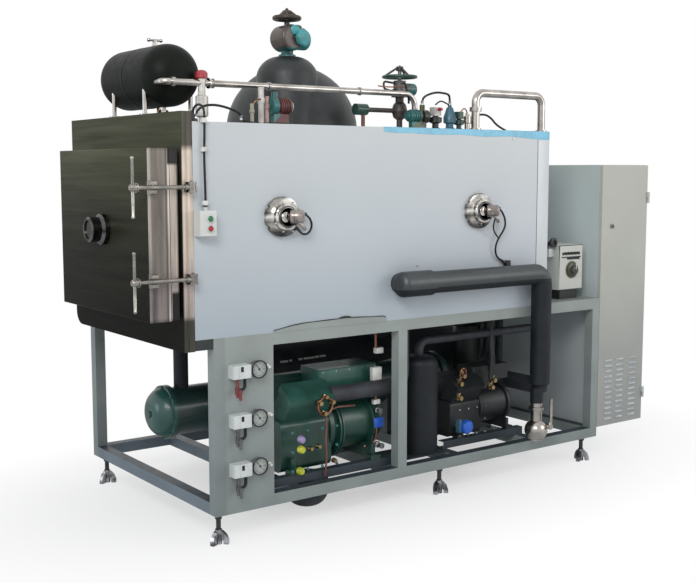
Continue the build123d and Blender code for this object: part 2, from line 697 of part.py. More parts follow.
def button_cable():
    """Clipped up the panel from the button box, over its top edge and into the roof gland."""
    x, y = BUTTON_X + 3, -12.0
    bottom = BUTTON_BOX_Z + BUTTON_BOX[2] + 12
    high = CASING_TOP + 66
    points = [(x, y, bottom), (x, y, bottom + 60), (x - 4, y, bottom + 190), (x, y, CASING_TOP - 30),
              (x, y, high), (x, ROOF_GLAND[1], high), (ROOF_GLAND[0], ROOF_GLAND[1], CASING_TOP + 22)]
    return tube_along(points, CORD_R, [400, 400, 400, 40, 40])


# ---- gauge panel ----
def gauge_panel():
    x = (TUBE, TUBE + GAUGE_BAY)
    z = (RAIL_TOP, FRAME_TOP - TUBE)
    sheet = block(x, (0, 3), z) + block((x[1] - 3, x[1]), (0, 42), z)
    return fillet(sheet.edges().filter_by(Axis.Z).group_by(Axis.X)[-1].sort_by(Axis.Y)[0], 2.5)


def gauge(level):
    case = turned([(0, 0), (GAUGE_R - 3, 0), (GAUGE_R - 3, 22), (GAUGE_R, 24), (GAUGE_R, GAUGE_OUT - 2),
                   (GAUGE_R - 2, GAUGE_OUT), (GAUGE_R - 5, GAUGE_OUT), (GAUGE_R - 5, GAUGE_OUT - 6),
                   (0, GAUGE_OUT - 6)])
    needle = Pos(0, 0, GAUGE_OUT - 6) * Rot(0, 0, 125) * Pos(8, 0, 1) * Box(34, 1.6, 1.2)
    boss = Pos(0, 0, GAUGE_OUT - 6) * Cylinder(4, 2.4, align=STAND)
    return facing_front(case + needle + boss, GAUGE_X, level)


def pressure_switch(level):
    width, depth, height = SWITCH
    x = (SWITCH_X, SWITCH_X + width)
    z = (level - height / 2, level + height / 2)
    case = fillet(block(x, (-depth, 0), z).edges().group_by(Axis.Y)[0], 3)
    seam = block((x[0] + 24, x[0] + 25.5), (-depth - 1, -depth + 1.5), (z[0] - 1, z[1] + 1))
    window = block((x[0] + 31, x[0] + 44), (-depth - 1, -depth + 4), (level + 1, z[1] - 5))
    return case - seam - window


def small_valve(level):
    """Shut-off valve hung under a pressure switch, with its U-shaped capillary."""
    top = level - SWITCH[2] / 2
    y = -SWITCH[1] / 2
    middle = top - SMALL_VALVE_DROP
    body = rod_z(6, SMALL_VALVE_X, y, (middle - 26, top)) + rod_z(10, SMALL_VALVE_X, y, (middle - 14, middle + 14))
    body += rod_y(7, SMALL_VALVE_X, (y - 17, y), middle)
    end_x = SWITCH_X + SWITCH[0] - 18
    turn = 17.0
    loop = [(end_x, y, top), (end_x, y, middle + 4), (SMALL_VALVE_X, y, middle + 4)]
    return body + tube_along(loop, CAPILLARY_R, [turn])


def small_handle(level):
    """Lever handle on the front of a small valve."""
    middle = level - SWITCH[2] / 2 - SMALL_VALVE_DROP
    y = -SWITCH[1] / 2 - 17 - SEAT
    hub = rod_y(9, SMALL_VALVE_X, (y - 9, y), middle)
    lever = block((SMALL_VALVE_X - 6, SMALL_VALVE_X + 6), (y - 8, y - 3), (middle - 34, middle))
    return hub + fillet(lever.edges().filter_by(Axis.Y).group_by(Axis.Z)[0], 5)


# ---- insulated front pipe, drain valve and condenser ----
def front_pipe():
    """Foam-clad pipe: blunt end with its stub into the panel, long run, elbow, drop and stepped foot."""
    start = PIPE_LEFT + SLEEVE_R
    run = tube_along([(start, PIPE_Y, PIPE_Z), (DROP_X, PIPE_Y, PIPE_Z), (DROP_X, PIPE_Y, DROP_BOTTOM)],
                     PIPE_R, [PIPE_BEND])
    sleeve = rod_x(SLEEVE_R, (PIPE_LEFT, PIPE_LEFT + SLEEVE_LENGTH), PIPE_Y, PIPE_Z)
    sleeve = fillet(sleeve.edges().sort_by(Axis.X)[0], SLEEVE_R * 0.55)
    stub = rod_y(PIPE_R - 5, start, (PIPE_Y, 0), PIPE_Z)
    first = DROP_BOTTOM - TAPER[0]
    step = turned([(0, DROP_BOTTOM), (PIPE_R, DROP_BOTTOM), (PIPE_R - 12, DROP_BOTTOM - 9), (PIPE_R - 13, first),
                   (0, first)])
    foot = Pos(DROP_X, PIPE_Y, 0) * step + rod_z(DRAIN_R + 2, DRAIN_X, PIPE_Y, (DRAIN_TOP, first + 20))
    return run + sleeve + stub + foot


def riser_pipe():
    pipe = rod_z(RISER_R, RISER_X, CONDENSER_Y, (CONDENSER_Z, FRAME_TOP))
    return pipe - rod_x(CONDENSER_R, (RISER_X - 60, RISER_X + 60), CONDENSER_Y, CONDENSER_Z)


def pipe_insulation():
    return [front_pipe(), riser_pipe()]


def drain_valve():
    """Stainless neck with its clamp, the ball body and the outlet bored up into its underside."""
    centre = Pos(DRAIN_X, PIPE_Y, 0)
    neck = turned([(0, DRAIN_BALL_Z), (DRAIN_R, DRAIN_BALL_Z), (DRAIN_R, DRAIN_TOP - 36), (DRAIN_R + 8, DRAIN_TOP - 33),
                   (DRAIN_R + 8, DRAIN_TOP - 21), (DRAIN_R, DRAIN_TOP - 18), (DRAIN_R, DRAIN_TOP), (0, DRAIN_TOP)])
    below = block((DRAIN_X - 60, DRAIN_X + 60), (PIPE_Y - 60, PIPE_Y + 60), (DRAIN_BOTTOM - 60, DRAIN_BOTTOM))
    body = centre * (neck + Pos(0, 0, DRAIN_BALL_Z) * Sphere(DRAIN_BALL_R)) - below
    body += rod_z(DRAIN_BORE + 14, DRAIN_X, PIPE_Y, (DRAIN_BOTTOM, DRAIN_BOTTOM + 12))
    body += rod_y(12, LEVER_X, (LEVER_Y, PIPE_Y), LEVER_Z)
    return body - rod_z(DRAIN_BORE, DRAIN_X, PIPE_Y, (DRAIN_BOTTOM - 1, DRAIN_BOTTOM + DRAIN_BORE_DEPTH))


def drain_lever():
    """Flat lever that stands up in front of the valve on its boss."""
    y = LEVER_Y - SEAT
    hub = rod_y(13, LEVER_X, (y - 10, y), LEVER_Z)
    arm = block((LEVER_X - 8, LEVER_X + 8), (y - 9, y - 4), (LEVER_Z, LEVER_Z + LEVER))
    return hub + fillet(arm.edges().filter_by(Axis.Y).group_by(Axis.Z)[-1], 7)


def condenser_shell():
    left = CONDENSER_X + COVER
    shell = rod_x(CONDENSER_R, (left, left + CONDENSER_LENGTH), CONDENSER_Y, CONDENSER_Z)
    for x in (left, left + CONDENSER_LENGTH - 14):
        shell += rod_x(COVER_R + COVER_RIM, (x, x + 14), CONDENSER_Y, CONDENSER_Z)
    return shell


def condenser_cover(x, side):
    """A cast, domed water box with a rim of bolts and a plug in its middle; side is -1 at the left."""
    rim = COVER_R + COVER_RIM
    foot = Polyline((14, 0, COVER), (0, 0, COVER), (0, 0, 0), (rim, 0, 0), (rim, 0, 14), (COVER_R, 0, 16))
    dome = ThreePointArc((COVER_R, 0, 16), (COVER_R * 0.8, 0, COVER * 0.72), (14, 0, COVER))
    cover = revolve(make_face(foot + dome), Axis.Z) + Cylinder(14, COVER + 8, align=STAND)
    for i in range(8):
        cover += Rot(0, 0, 45 * i) * Pos(COVER_R + 2, 0, 14) * extrude(RegularPolygon(6, 6), 8)
    return Pos(x, CONDENSER_Y, CONDENSER_Z) * Rot(0, side * 90, 0) * cover


def condenser_covers():
    left = CONDENSER_X + COVER
    return [condenser_cover(left, -1), condenser_cover(left + CONDENSER_LENGTH, 1)]


# ---- expansion tank ----
def expansion_tank():
    shell = rod_y(TANK_R, TANK_X, (TANK_Y, TANK_Y + TANK_LENGTH), TANK_Z)
    return fillet(shell.edges().filter_by(GeomType.CIRCLE), TANK_ROUND)


def tank_stand():
    """Four legs: the left pair on the flange, the right pair on the roof, and the drain beneath."""
    tank = expansion_tank()
    pieces = []
    for x, ground in ((TANK_X - LEG_REACH, FLANGE_TOP), (TANK_X + LEG_REACH, CASING_TOP)):
        for y in LEG_Y:
            leg = rod_z(LEG_R, x, y, (ground, TANK_Z)) + rod_z(2.4 * LEG_R, x, y, (ground, ground + 6))
            pieces.append(leg - tank)
    drain = rod_z(11, TANK_X, LEG_Y[0] + 40, (CASING_TOP, TANK_Z - TANK_R * 0.75))
    drain += rod_z(20, TANK_X, LEG_Y[0] + 40, (CASING_TOP + 20, CASING_TOP + 38))
    pieces.append(drain - tank)
    boss = rod_z(13, TANK_X + 20, TANK_CAP_Y, (TANK_Z, TANK_Z + TANK_R + 10))
    pieces.append(boss - tank)
    return pieces


def tank_cap():
    """Winged plug on top of the tank."""
    z = TANK_Z + TANK_R + 10 + SEAT
    hub = rod_z(10, TANK_X + 20, TANK_CAP_Y, (z, z + 18))
    wings = rod_x(5, (TANK_X - 10, TANK_X + 50), TANK_CAP_Y, z + 20)
    for side in (-1, 1):
        wings += Pos(TANK_X + 20 + side * 28, TANK_CAP_Y, z + 20) * Rot(0, 90, 0) * Sphere(8)
    return hub + wings


# ---- roof pipework ----
def feed_pipe():
    """Stainless pipe from the tank's near end along the roof and down into it."""
    points = [(FEED_LEFT, TANK_Y + 50, FEED_Z), (FEED_LEFT, FEED_Y, FEED_Z), (FEED_RIGHT, FEED_Y, FEED_Z),
              (FEED_RIGHT, FEED_Y, CASING_TOP)]
    pipe = tube_along(points, FEED_R, [28, 60])
    pipe += rod_x(FEED_R + 6, (FEED_LEFT + 34, FEED_LEFT + 50), FEED_Y, FEED_Z)
    pipe += rod_z(FEED_R + 8, FEED_RIGHT, FEED_Y, (CASING_TOP, CASING_TOP + 10))
    return pipe - expansion_tank()


def arch_pipe():
    """Polished arch over the right half of the roof with a union on its left leg."""
    points = [(ARCH_LEFT, ARCH_Y, CASING_TOP), (ARCH_LEFT, ARCH_Y, ARCH_TOP), (ARCH_RIGHT, ARCH_Y, ARCH_TOP),
              (ARCH_RIGHT, ARCH_Y, CASING_TOP)]
    pipe = tube_along(points, ARCH_R, [45, 45])
    pipe += rod_z(ARCH_R + 10, ARCH_LEFT, ARCH_Y, (CASING_TOP + 85, CASING_TOP + 105))
    for x in (ARCH_LEFT, ARCH_RIGHT):
        pipe += rod_z(ARCH_R + 9, x, ARCH_Y, (CASING_TOP, CASING_TOP + 8))
    return pipe


def stainless_pipes():
    return [feed_pipe(), arch_pipe()]


def relief_valve():
    """Safety valve in the branch under the feed pipe, with its domed cap above it."""
    top = FEED_Z - FEED_R
    body = turned([(0, 0), (30, 0), (30, 8), (14, 10), (14, 28), (26, 34), (26, 112), (15, 120),
                   (15, top - CASING_TOP + 20), (0, top - CASING_TOP + 20)])
    cap = turned([(0, 0), (17, 0), (17, 16), (25, 20), (25, 40), (18, 48), (7, 52), (0, 52)])
    pipe = rod_x(FEED_R, (RELIEF_X - 60, RELIEF_X + 60), FEED_Y, FEED_Z)
    below = Pos(RELIEF_X, FEED_Y, CASING_TOP) * body - pipe
    below -= block((RELIEF_X - 30, RELIEF_X + 30), (FEED_Y - 30, FEED_Y + 30), (FEED_Z, FEED_Z + 40))
    above = Pos(RELIEF_X, FEED_Y, FEED_Z) * cap - pipe
    return [below, above]


def relief_hose():
    (x1, y), (x2, _) = HOSE_NIPPLES
    z = CASING_TOP + 18
    points = [(x1, y, z), (x1, y, z + 24), (x1 + 18, y, z + 43), (x1 + 46, y, z + 54), (x1 + 84, y, z + 57),
              (x1 + 122, y, z + 52), (x2 - 48, y, z + 43), (x2 - 16, y, z + 32), (x2, y, z + 18), (x2, y, z)]
    return hose(points, 5.0, "relief_hose")


# ---- vapour duct and gear-operated valve ----
def duct_insulation():
    """Foam over the vapour duct: a half round bell on the roof and the domed riser in front of it."""
    bell = Pos(BELL_X, BELL_Y, CASING_TOP) * Sphere(BELL_R)
    low = CASING_TOP - BELL_R
    shoulder = DOME_TOP - 84
    side = Polyline((40, 0, DOME_TOP), (0, 0, DOME_TOP), (0, 0, low), (DOME_R, 0, low), (DOME_R, 0, CASING_TOP),
                    (DOME_R - 20, 0, shoulder))
    crown = ThreePointArc((DOME_R - 20, 0, shoulder), (DOME_R - 50, 0, DOME_TOP - 30), (40, 0, DOME_TOP))
    riser = Pos(DOME_X, DOME_Y, 0) * revolve(make_face(side + crown), Axis.Z)
    reach = BELL_R + 10
    below = block((BELL_X - reach, BELL_X + reach), (BELL_Y - reach, BELL_Y + reach), (low - 10, CASING_TOP))
    return bell + riser - below


def duct_valve():
    """Cast valve on top of the duct: neck, gearbox drum, motor drum with its hood, and the stem."""
    x, y, z = DOME_X, DOME_Y, DUCT_DRUM_Z
    neck = turned([(0, DOME_TOP), (40, DOME_TOP), (40, DOME_TOP + 8), (28, DOME_TOP + 13), (34, z), (0, z)])
    tip = DUCT_WHEEL_Z + 46
    stem = turned([(0, z), (DUCT_STEM_R, z), (DUCT_STEM_R, tip - 14), (4, tip), (0, tip)])
    gearbox = fillet(rod_y(DUCT_DRUM_R, x - 12, (y - 75, y + 45), z).edges().filter_by(GeomType.CIRCLE), 16)
    motor = fillet(rod_x(DUCT_DRUM_R - 13, (x, x + 112), y, z).edges().filter_by(GeomType.CIRCLE), 18)
    hood = fillet(rod_z(30, x + 48, y, (z, z + 66)).edges().filter_by(GeomType.CIRCLE).sort_by(Axis.Z)[-1], 12)
    return Pos(x, y, 0) * neck + gearbox + motor + hood + Pos(x, y, 0) * stem


def handwheel(radius, rim, spokes, rise, bore):
    """A dished handwheel: hub, sloping spokes and a round rim, on a stem of the bore's radius."""
    ring = Torus(radius - rim, rim)
    hub = turned([(bore, rise - 12), (bore + 8, rise - 12), (bore + 8, rise + 8), (bore, rise + 8)])
    wheel = ring + hub
    start = bore + 6
    slope = sqrt((radius - rim - start) ** 2 + rise ** 2)
    for i in range(spokes):
        spoke = Plane(origin=(start, 0, rise), z_dir=(radius - rim - start, 0, -rise)) * Cylinder(
            rim * 0.7, slope, align=STAND)
        wheel += Rot(0, 0, 360 / spokes * i + 25) * spoke
    return wheel


def duct_handwheel():
    wheel = handwheel(DUCT_WHEEL_R, 11, 4, 26, DUCT_STEM_R + FIT)
    return Pos(DOME_X, DOME_Y, DUCT_WHEEL_Z) * wheel


# ---- roof machines ----
def pump(place, side):
    """A small circulation pump: foot, volute, ribbed motor barrel and outlet; side 1 has its volute left."""
    x, length, radius, height = place
    centre = length / 2
    foot = block((-centre, centre), (-radius * 0.7, radius * 0.7), (0, 8))
    web = block((10 - centre, centre - 10), (-radius * 0.4, radius * 0.4), (0, height))
    volute = rod_x(radius, (-centre, -centre + length * 0.3), 0, height)
    core = rod_x(radius * 0.6, (-centre, centre + 12), 0, height)
    barrel = rod_x(radius - 4, (-centre + length * 0.42, centre), 0, height)
    outlet = rod_z(radius * 0.4, -centre + length * 0.25, 0, (height, height + radius + 22))
    body = foot + web + volute + core + barrel + outlet
    for i in range(4):
        rib = -centre + length * (0.5 + 0.12 * i)
        body += rod_x(radius, (rib, rib + 4), 0, height)
    return Pos(x + centre, ROOF_Y, CASING_TOP) * Rot(0, 0, 0 if side > 0 else 180) * body


def stub(x, radius, height):
    """An upright pipe end with its base and collar."""
    return Pos(x, ROOF_Y, CASING_TOP) * turned(
        [(0, 0), (radius + 5, 0), (radius + 5, 7), (radius, 9), (radius, height * 0.55), (radius + 3, height * 0.58),
         (radius + 3, height * 0.7), (radius, height * 0.73), (radius, height), (0, height)])


def roof_pumps():
    """Two pumps on the roof and the upright pipe stubs beside the first."""
    return [pump(FIRST_PUMP, 1), pump(SECOND_PUMP, -1)] + [stub(*place) for place in STUBS]


def globe_valve():
    """Flanged pipe on the roof, an upright globe valve with its bonnet, side drum and guard bar."""
    x, y, level = GLOBE_X, GLOBE_Y, GLOBE_RUN_Z - CASING_TOP
    top = GLOBE_WHEEL_Z + 54 - CASING_TOP
    upright = turned([(0, 0), (14, 0), (14, level - 42), (30, level - 30), (38, level), (30, level + 30),
                      (20, level + 40), (20, level + 62), (39, level + 64), (39, level + 100), (30, level + 102),
                      (30, level + 140), (GLOBE_STEM_R, level + 142), (GLOBE_STEM_R, top - 12), (3, top), (0, top)])
    run = turned([(0, -GLOBE_RUN), (26, -GLOBE_RUN), (26, -GLOBE_RUN + 63), (11, -GLOBE_RUN + 65), (11, 0), (0, 0)])
    valve = Pos(x, y, CASING_TOP) * upright + Pos(x, y, GLOBE_RUN_Z) * Rot(0, 90, 0) * run
    drum = rod_x(29, (x, x + 88), y, GLOBE_RUN_Z + 102)
    valve += fillet(drum.edges().filter_by(GeomType.CIRCLE), 8)
    guard = [(x - 20, y, GLOBE_RUN_Z + 127), (x - 98, y, GLOBE_RUN_Z + 134), (x - 92, y, GLOBE_RUN_Z + 100),
             (x - 20, y, GLOBE_RUN_Z + 84)]
    valve += tube_along(guard, 5, [11, 11])
    return valve + rod_z(9, x - GLOBE_RUN + 46, y, (CASING_TOP, GLOBE_RUN_Z))


def globe_handwheel():
    wheel = handwheel(GLOBE_WHEEL_R, 7, 3, 40, GLOBE_STEM_R + FIT)
    return Pos(GLOBE_X, GLOBE_Y, GLOBE_WHEEL_Z) * wheel


def solenoid_valve(x, radius, height):
    """An upright valve: base, round body and the square coil on top."""
    coil = radius * 0.72
    profile = [(0, 0), (radius * 0.8, 0), (radius * 0.8, 8), (radius * 0.5, 12), (radius * 0.5, height * 0.28),
               (radius, height * 0.34), (radius, height * 0.55), (radius * 0.4, height * 0.6),
               (radius * 0.4, height), (0, height)]
    top = block((-coil, coil), (-coil, coil), (height * 0.62, height))
    return Pos(x, ROOF_Y, CASING_TOP) * (turned(profile) + fillet(top.edges().filter_by(Axis.Z), coil * 0.4))


def regulator(x, radius, height):
    """A regulator with its tall bonnet."""
    return Pos(x, ROOF_Y, CASING_TOP) * turned(
        [(0, 0), (radius * 0.8, 0), (radius * 0.8, 10), (radius * 0.6, 14), (radius * 0.6, 30), (radius, 36),
         (radius, height * 0.52), (radius * 0.5, height - 12), (radius * 0.3, height - 9), (radius * 0.3, height),
         (0, height)])


def solenoid_valves():
    """The row of valves along the front of the roof: two coils, a regulator between, and two columns."""
    first, second, third = ROOF_VALVES
    pieces = [solenoid_valve(*first), regulator(*second), solenoid_valve(*third)]
    radius, height = COLUMN
    for x in COLUMNS:
        pieces.append(Pos(x, ROOF_Y, CASING_TOP) * turned(
            [(0, 0), (radius, 0), (radius, 6), (radius * 0.7, 9), (radius * 0.7, height * 0.4), (radius, height * 0.45),
             (radius, height * 0.8), (radius * 0.5, height - 6), (radius * 0.5, height), (0, height)]))
    return pieces


def pump_hose():
    """Hose that arches from the second pump's outlet over to the regulator's bonnet."""
    x, length, radius, height = SECOND_PUMP
    x1, z1 = x + length * 0.75, CASING_TOP + height + radius + 22
    x2, z2 = ROOF_VALVES[1][0], CASING_TOP + ROOF_VALVES[1][2]
    y = ROOF_Y
    points = [(x1, y, z1), (x1, y, z1 + 20), (x1 + 12, y, z1 + 38), (x1 + 46, y, z1 + 52), (x1 + 88, y, z1 + 61),
              (x1 + 130, y, z1 + 59), (x2 - 5, y, z2 + 49), (x2, y, z2 + 24), (x2, y, z2)]
    return hose(points, 5.0, "pump_hose")


# ---- electrical cabinet ----
CABINET_X = FRAME_LENGTH
CABINET_RIGHT = CABINET_X + CABINET_WIDTH


def cabinet_shell():
    """Sheet box, open at the front, bolted to the end of the frame."""
    x, y, z = (CABINET_X, CABINET_RIGHT), (CABINET_DOOR + SEAT, CABINET_DEPTH), (CABINET_Z, CABINET_TOP)
    inner = block((x[0] + CABINET_WALL, x[1] - CABINET_WALL), (y[0] - 1, y[1] - CABINET_WALL),
                  (z[0] + CABINET_WALL, z[1] - CABINET_WALL))
    shell = block(x, y, z) - inner
    lip = 14.0
    rim = block((x[0] + 1, x[1] - 1), (y[0] + 8, y[0] + 10), (z[0] + 1, z[1] - 1))
    shell += rim - block((x[0] + lip, x[1] - lip), (y[0], y[0] + 20), (z[0] + lip, z[1] - lip))
    for level in (CABINET_Z + 160, CABINET_TOP - 160):
        shell += rod_z(CABINET_KNUCKLE, CABINET_RIGHT - 2, -9, (level - 40, level - 12)) + block(
            (CABINET_RIGHT - 2, CABINET_RIGHT + 3), (-9, y[0] + 20), (level - 40, level - 12))
        shell += rod_z(CABINET_PIN, CABINET_RIGHT - 2, -9, (level - 40, level + 18))
    return shell


def cabinet_door():
    """Folded door pan with rows of pressed louvres and the lock hole."""
    x = (CABINET_X + 2, CABINET_RIGHT - 3)
    z = (CABINET_Z + 2, CABINET_TOP - 2)
    pan = block(x, (0, CABINET_DOOR), z) - block((x[0] + 2, x[1] - 2), (2, CABINET_DOOR + 1), (z[0] + 2, z[1] - 2))
    width, out, height = LOUVRE
    side = make_face(Polyline((0, 0), (-out, height * 0.45), (0, height), close=True))
    hood = extrude(Plane.YZ * side, width / 2, both=True)
    hoods, slots = [], []
    for column in LOUVRE_COLUMNS:
        for row in range(LOUVRE_ROWS):
            centre = (CABINET_X + column + width / 2, 0, LOUVRE_Z + row * LOUVRE_PITCH)
            hoods.append(Pos(*centre) * hood)
            slots.append(Pos(centre[0], 1.5, centre[2] + height * 0.2) * Box(width - 6, 6, 2.6))
    pan = pan + hoods - slots
    pan -= rod_y(LOCK_R * 0.7 + SEAT, CABINET_X + LOCK_X, (-1, 3), LOCK_Z)
    for level in (CABINET_Z + 160, CABINET_TOP - 160):
        z_knuckle = (level - 12 + SEAT, level + 18)
        knuckle = rod_z(CABINET_KNUCKLE, CABINET_RIGHT - 2, -9, z_knuckle)
        leaf = block((CABINET_RIGHT - 12, CABINET_RIGHT - 5), (-12, 0), z_knuckle)
        pan += knuckle + leaf - rod_z(CABINET_PIN + FIT, CABINET_RIGHT - 2, -9, z_knuckle)
    return pan


def cabinet_lock():
    """Round lock body with a wing, and the cam behind the door."""
    head = turned([(0, -6), (LOCK_R * 0.7, -6), (LOCK_R * 0.7, SEAT), (LOCK_R, SEAT), (LOCK_R, 6), (LOCK_R - 2, 8),
                   (0, 8)])
    wing = Pos(0, 0, 12) * Box(5, 17, 9)
    cam = Pos(0, 10, -7.5) * Box(12, 34, 3)
    return facing_front(head + wing + cam, CABINET_X + LOCK_X, LOCK_Z)


def control_gear():
    """Mounting plate on the cabinet's back wall with rails of switchgear and wiring ducts."""
    back = CABINET_DEPTH - CABINET_WALL
    x = (CABINET_X + 30, CABINET_RIGHT - 30)
    pieces = [block(x, (back - 22, back - 19), (CABINET_Z + 60, CABINET_TOP - 60))]
    pieces += [rod_y(6, px, (back - 19, back), pz) for px in (x[0] + 15, x[1] - 15)
               for pz in (CABINET_Z + 80, CABINET_TOP - 80)]
    for row in range(4):
        z = CABINET_Z + 190 + row * 290
        pieces.append(block((x[0] + 14, x[1] - 14), (back - 82, back - 22), (z + 120, z + 160)))
        for i in range(5):
            left = x[0] + 22 + i * 52
            pieces.append(block((left, left + 44), (back - 98, back - 22), (z, z + 84)))
    return pieces


# ---- instrument box ----
def instrument_box():
    width, depth, height = INSTRUMENT
    x = (INSTRUMENT_X, INSTRUMENT_X + width)
    low = FRAME_TOP + DECK
    y = (INSTRUMENT_Y, INSTRUMENT_Y + depth)
    case = block(x, y, (low + INSTRUMENT_BASE, low + INSTRUMENT_BASE + height))
    case = fillet(case.edges().group_by(Axis.Y)[0], 6)
    base = block((x[0] + 22, x[1] - 22), (y[0] + 16, y[1] - 16), (low, low + INSTRUMENT_BASE))
    for i in range(2):
        z = low + INSTRUMENT_BASE + height - 48 - 26 * i
        case -= block((x[0] + 34 + 20 * i, x[1] - 34 + 10 * i), (y[0] - 1, y[0] + 4), (z, z + 13))
    centre = (INSTRUMENT_X + width * DIAL[0], low + INSTRUMENT_BASE + DIAL[1])
    boss = rod_y(9, centre[0], (y[0] - 8, y[0]), centre[1])
    ring = rod_y(KNOB_R + 7, centre[0], (y[0] - 3, y[0]), centre[1])
    return case + base + boss + ring


def instrument_knob():
    """Large setting dial: skirt and grip with a pointer rib."""
    y = INSTRUMENT_Y - 3 - SEAT
    dial = turned([(9 + FIT, 0), (KNOB_R, 0), (KNOB_R, 4), (KNOB_R - 8, 7), (KNOB_R - 14, 9), (KNOB_R - 15, 24),
                   (KNOB_R - 18, 26), (0, 26), (0, 7), (9 + FIT, 7)])
    rib = Pos(0, 8, 26) * Box(4, 22, 4)
    level = FRAME_TOP + DECK + INSTRUMENT_BASE + DIAL[1]
    return facing_front(dial + rib, INSTRUMENT_X + INSTRUMENT[0] * DIAL[0], level, y)


# ---- refrigeration machinery ----
def compressor(x, y, size):
    """A semi-hermetic compressor: crankcase, two banks of heads, motor barrel, end bell and terminal box."""
    base = RAIL_TOP + SKID_HEIGHT
    z = base + 138 * size
    crank = block((x, x + 236 * size), (y - 105 * size, y + 105 * size), (base, z + 62 * size))
    crank = fillet(crank.edges().filter_by(Axis.X), 26 * size)
    body = crank + rod_x(104 * size, (x + 220 * size, x + 470 * size), y, z)
    for at in (228, 448):
        body += rod_x(116 * size, (x + at * size, x + (at + 20) * size), y, z)
    bell = Pos(x + 470 * size, y, z) * Rot(0, 90, 0) * turned(
        [(0, 0), (98 * size, 0), (90 * size, 30 * size), (52 * size, 44 * size), (0, 44 * size)])
    body += bell
    for side in (-1, 1):
        bank = Pos(x + 118 * size, y, z) * Rot(side * 34, 0, 0) * Pos(0, 0, 120 * size)
        body += bank * Box(196 * size, 88 * size, 130 * size)
        body += bank * Pos(0, 0, 78 * size) * fillet(
            Box(210 * size, 104 * size, 30 * size).edges().filter_by(Axis.Z), 14 * size)
    box = block((x + 206 * size, x + 490 * size), (y - 70 * size, y + 70 * size), (z + 150 * size, z + 238 * size))
    body += fillet(box.edges().filter_by(Axis.Z), 10 * size)
    body += block((x + 250 * size, x + 400 * size), (y - 40 * size, y + 40 * size), (z + 60 * size, z + 152 * size))
    for fx in (x + 16 * size, x + 400 * size):
        for fy in (y - 150 * size, y + 110 * size):
            body += block((fx, fx + 52 * size), (fy, fy + 40 * size), (base, base + 18 * size))
            side_y = sorted((fy + 20 * size, y))
            body += block((fx + 16 * size, fx + 36 * size), side_y, (base, base + 60 * size))
    return body


def left_compressor():
    return compressor(*LEFT_MACHINE)


def right_compressor():
    return compressor(*RIGHT_MACHINE)


def left_line():
    """Lagged suction pipe from the left compressor's head along the frame and up to the chamber floor."""
    y, z, turn = LEFT_LINE
    path = [(LEFT_MACHINE[0] + 235, y, z), (turn, y, z), (turn, y, FRAME_TOP)]
    return tube_along(path, 36, [61]) - left_compressor()


def right_line():
    """Lagged pipe from the right compressor back across the bay, forward and up under the deck."""
    z, x, far, near = RIGHT_LINE
    path = [(RIGHT_MACHINE[0] + 175, far, z), (x, far, z), (x, near, z), (x, near, FRAME_TOP)]
    line = tube_along(path, RIGHT_LINE_R, [RIGHT_LINE_R + 25, RIGHT_LINE_R + 25])
    return line + rod_z(16, x, far + RIGHT_LINE_R - 20, (z, FRAME_TOP)) - right_compressor()


def receiver():
    """Lagged upright vessel on its plate."""
    shell = rod_z(RECEIVER_R, RECEIVER_X, RECEIVER_Y, (RAIL_TOP + DECK, RECEIVER_TOP))
    return fillet(shell.edges().filter_by(GeomType.CIRCLE).sort_by(Axis.Z)[-1], 40)


def receiver_line(riser):
    """Bare pipe from the receiver's top to the right line's riser."""
    path = [(RECEIVER_X, RECEIVER_Y, RECEIVER_TOP - 30), (RECEIVER_X, RECEIVER_Y, LINE_Z), (LINE_END, RECEIVER_Y, LINE_Z)]
    return tube_along(path, LINE_R, [45]) - riser


def ice_trap():
    """The lagged cylinder that catches the vapour as ice, with its neck up into the chamber floor."""
    shell = rod_x(TRAP_R, TRAP_X, TRAP_Y, TRAP_Z)
    shell = fillet(shell.edges().filter_by(GeomType.CIRCLE), TRAP_ROUND)
    return shell + rod_z(TRAP_NECK[1], TRAP_NECK[0], TRAP_Y, (TRAP_Z, FRAME_TOP))


def refrigerant_lines():
    """Receiver with its outlet, the lagged lines, the ice trap and the round-bottomed sump."""
    sump = rod_z(SUMP_R, SUMP_X, SUMP_Y, (SUMP_Z, RAIL_TOP))
    sump = fillet(sump.edges().filter_by(GeomType.CIRCLE).sort_by(Axis.Z)[0], 70)
    right = right_line()
    return [receiver() + receiver_line(right), sump, left_line(), right, ice_trap()]


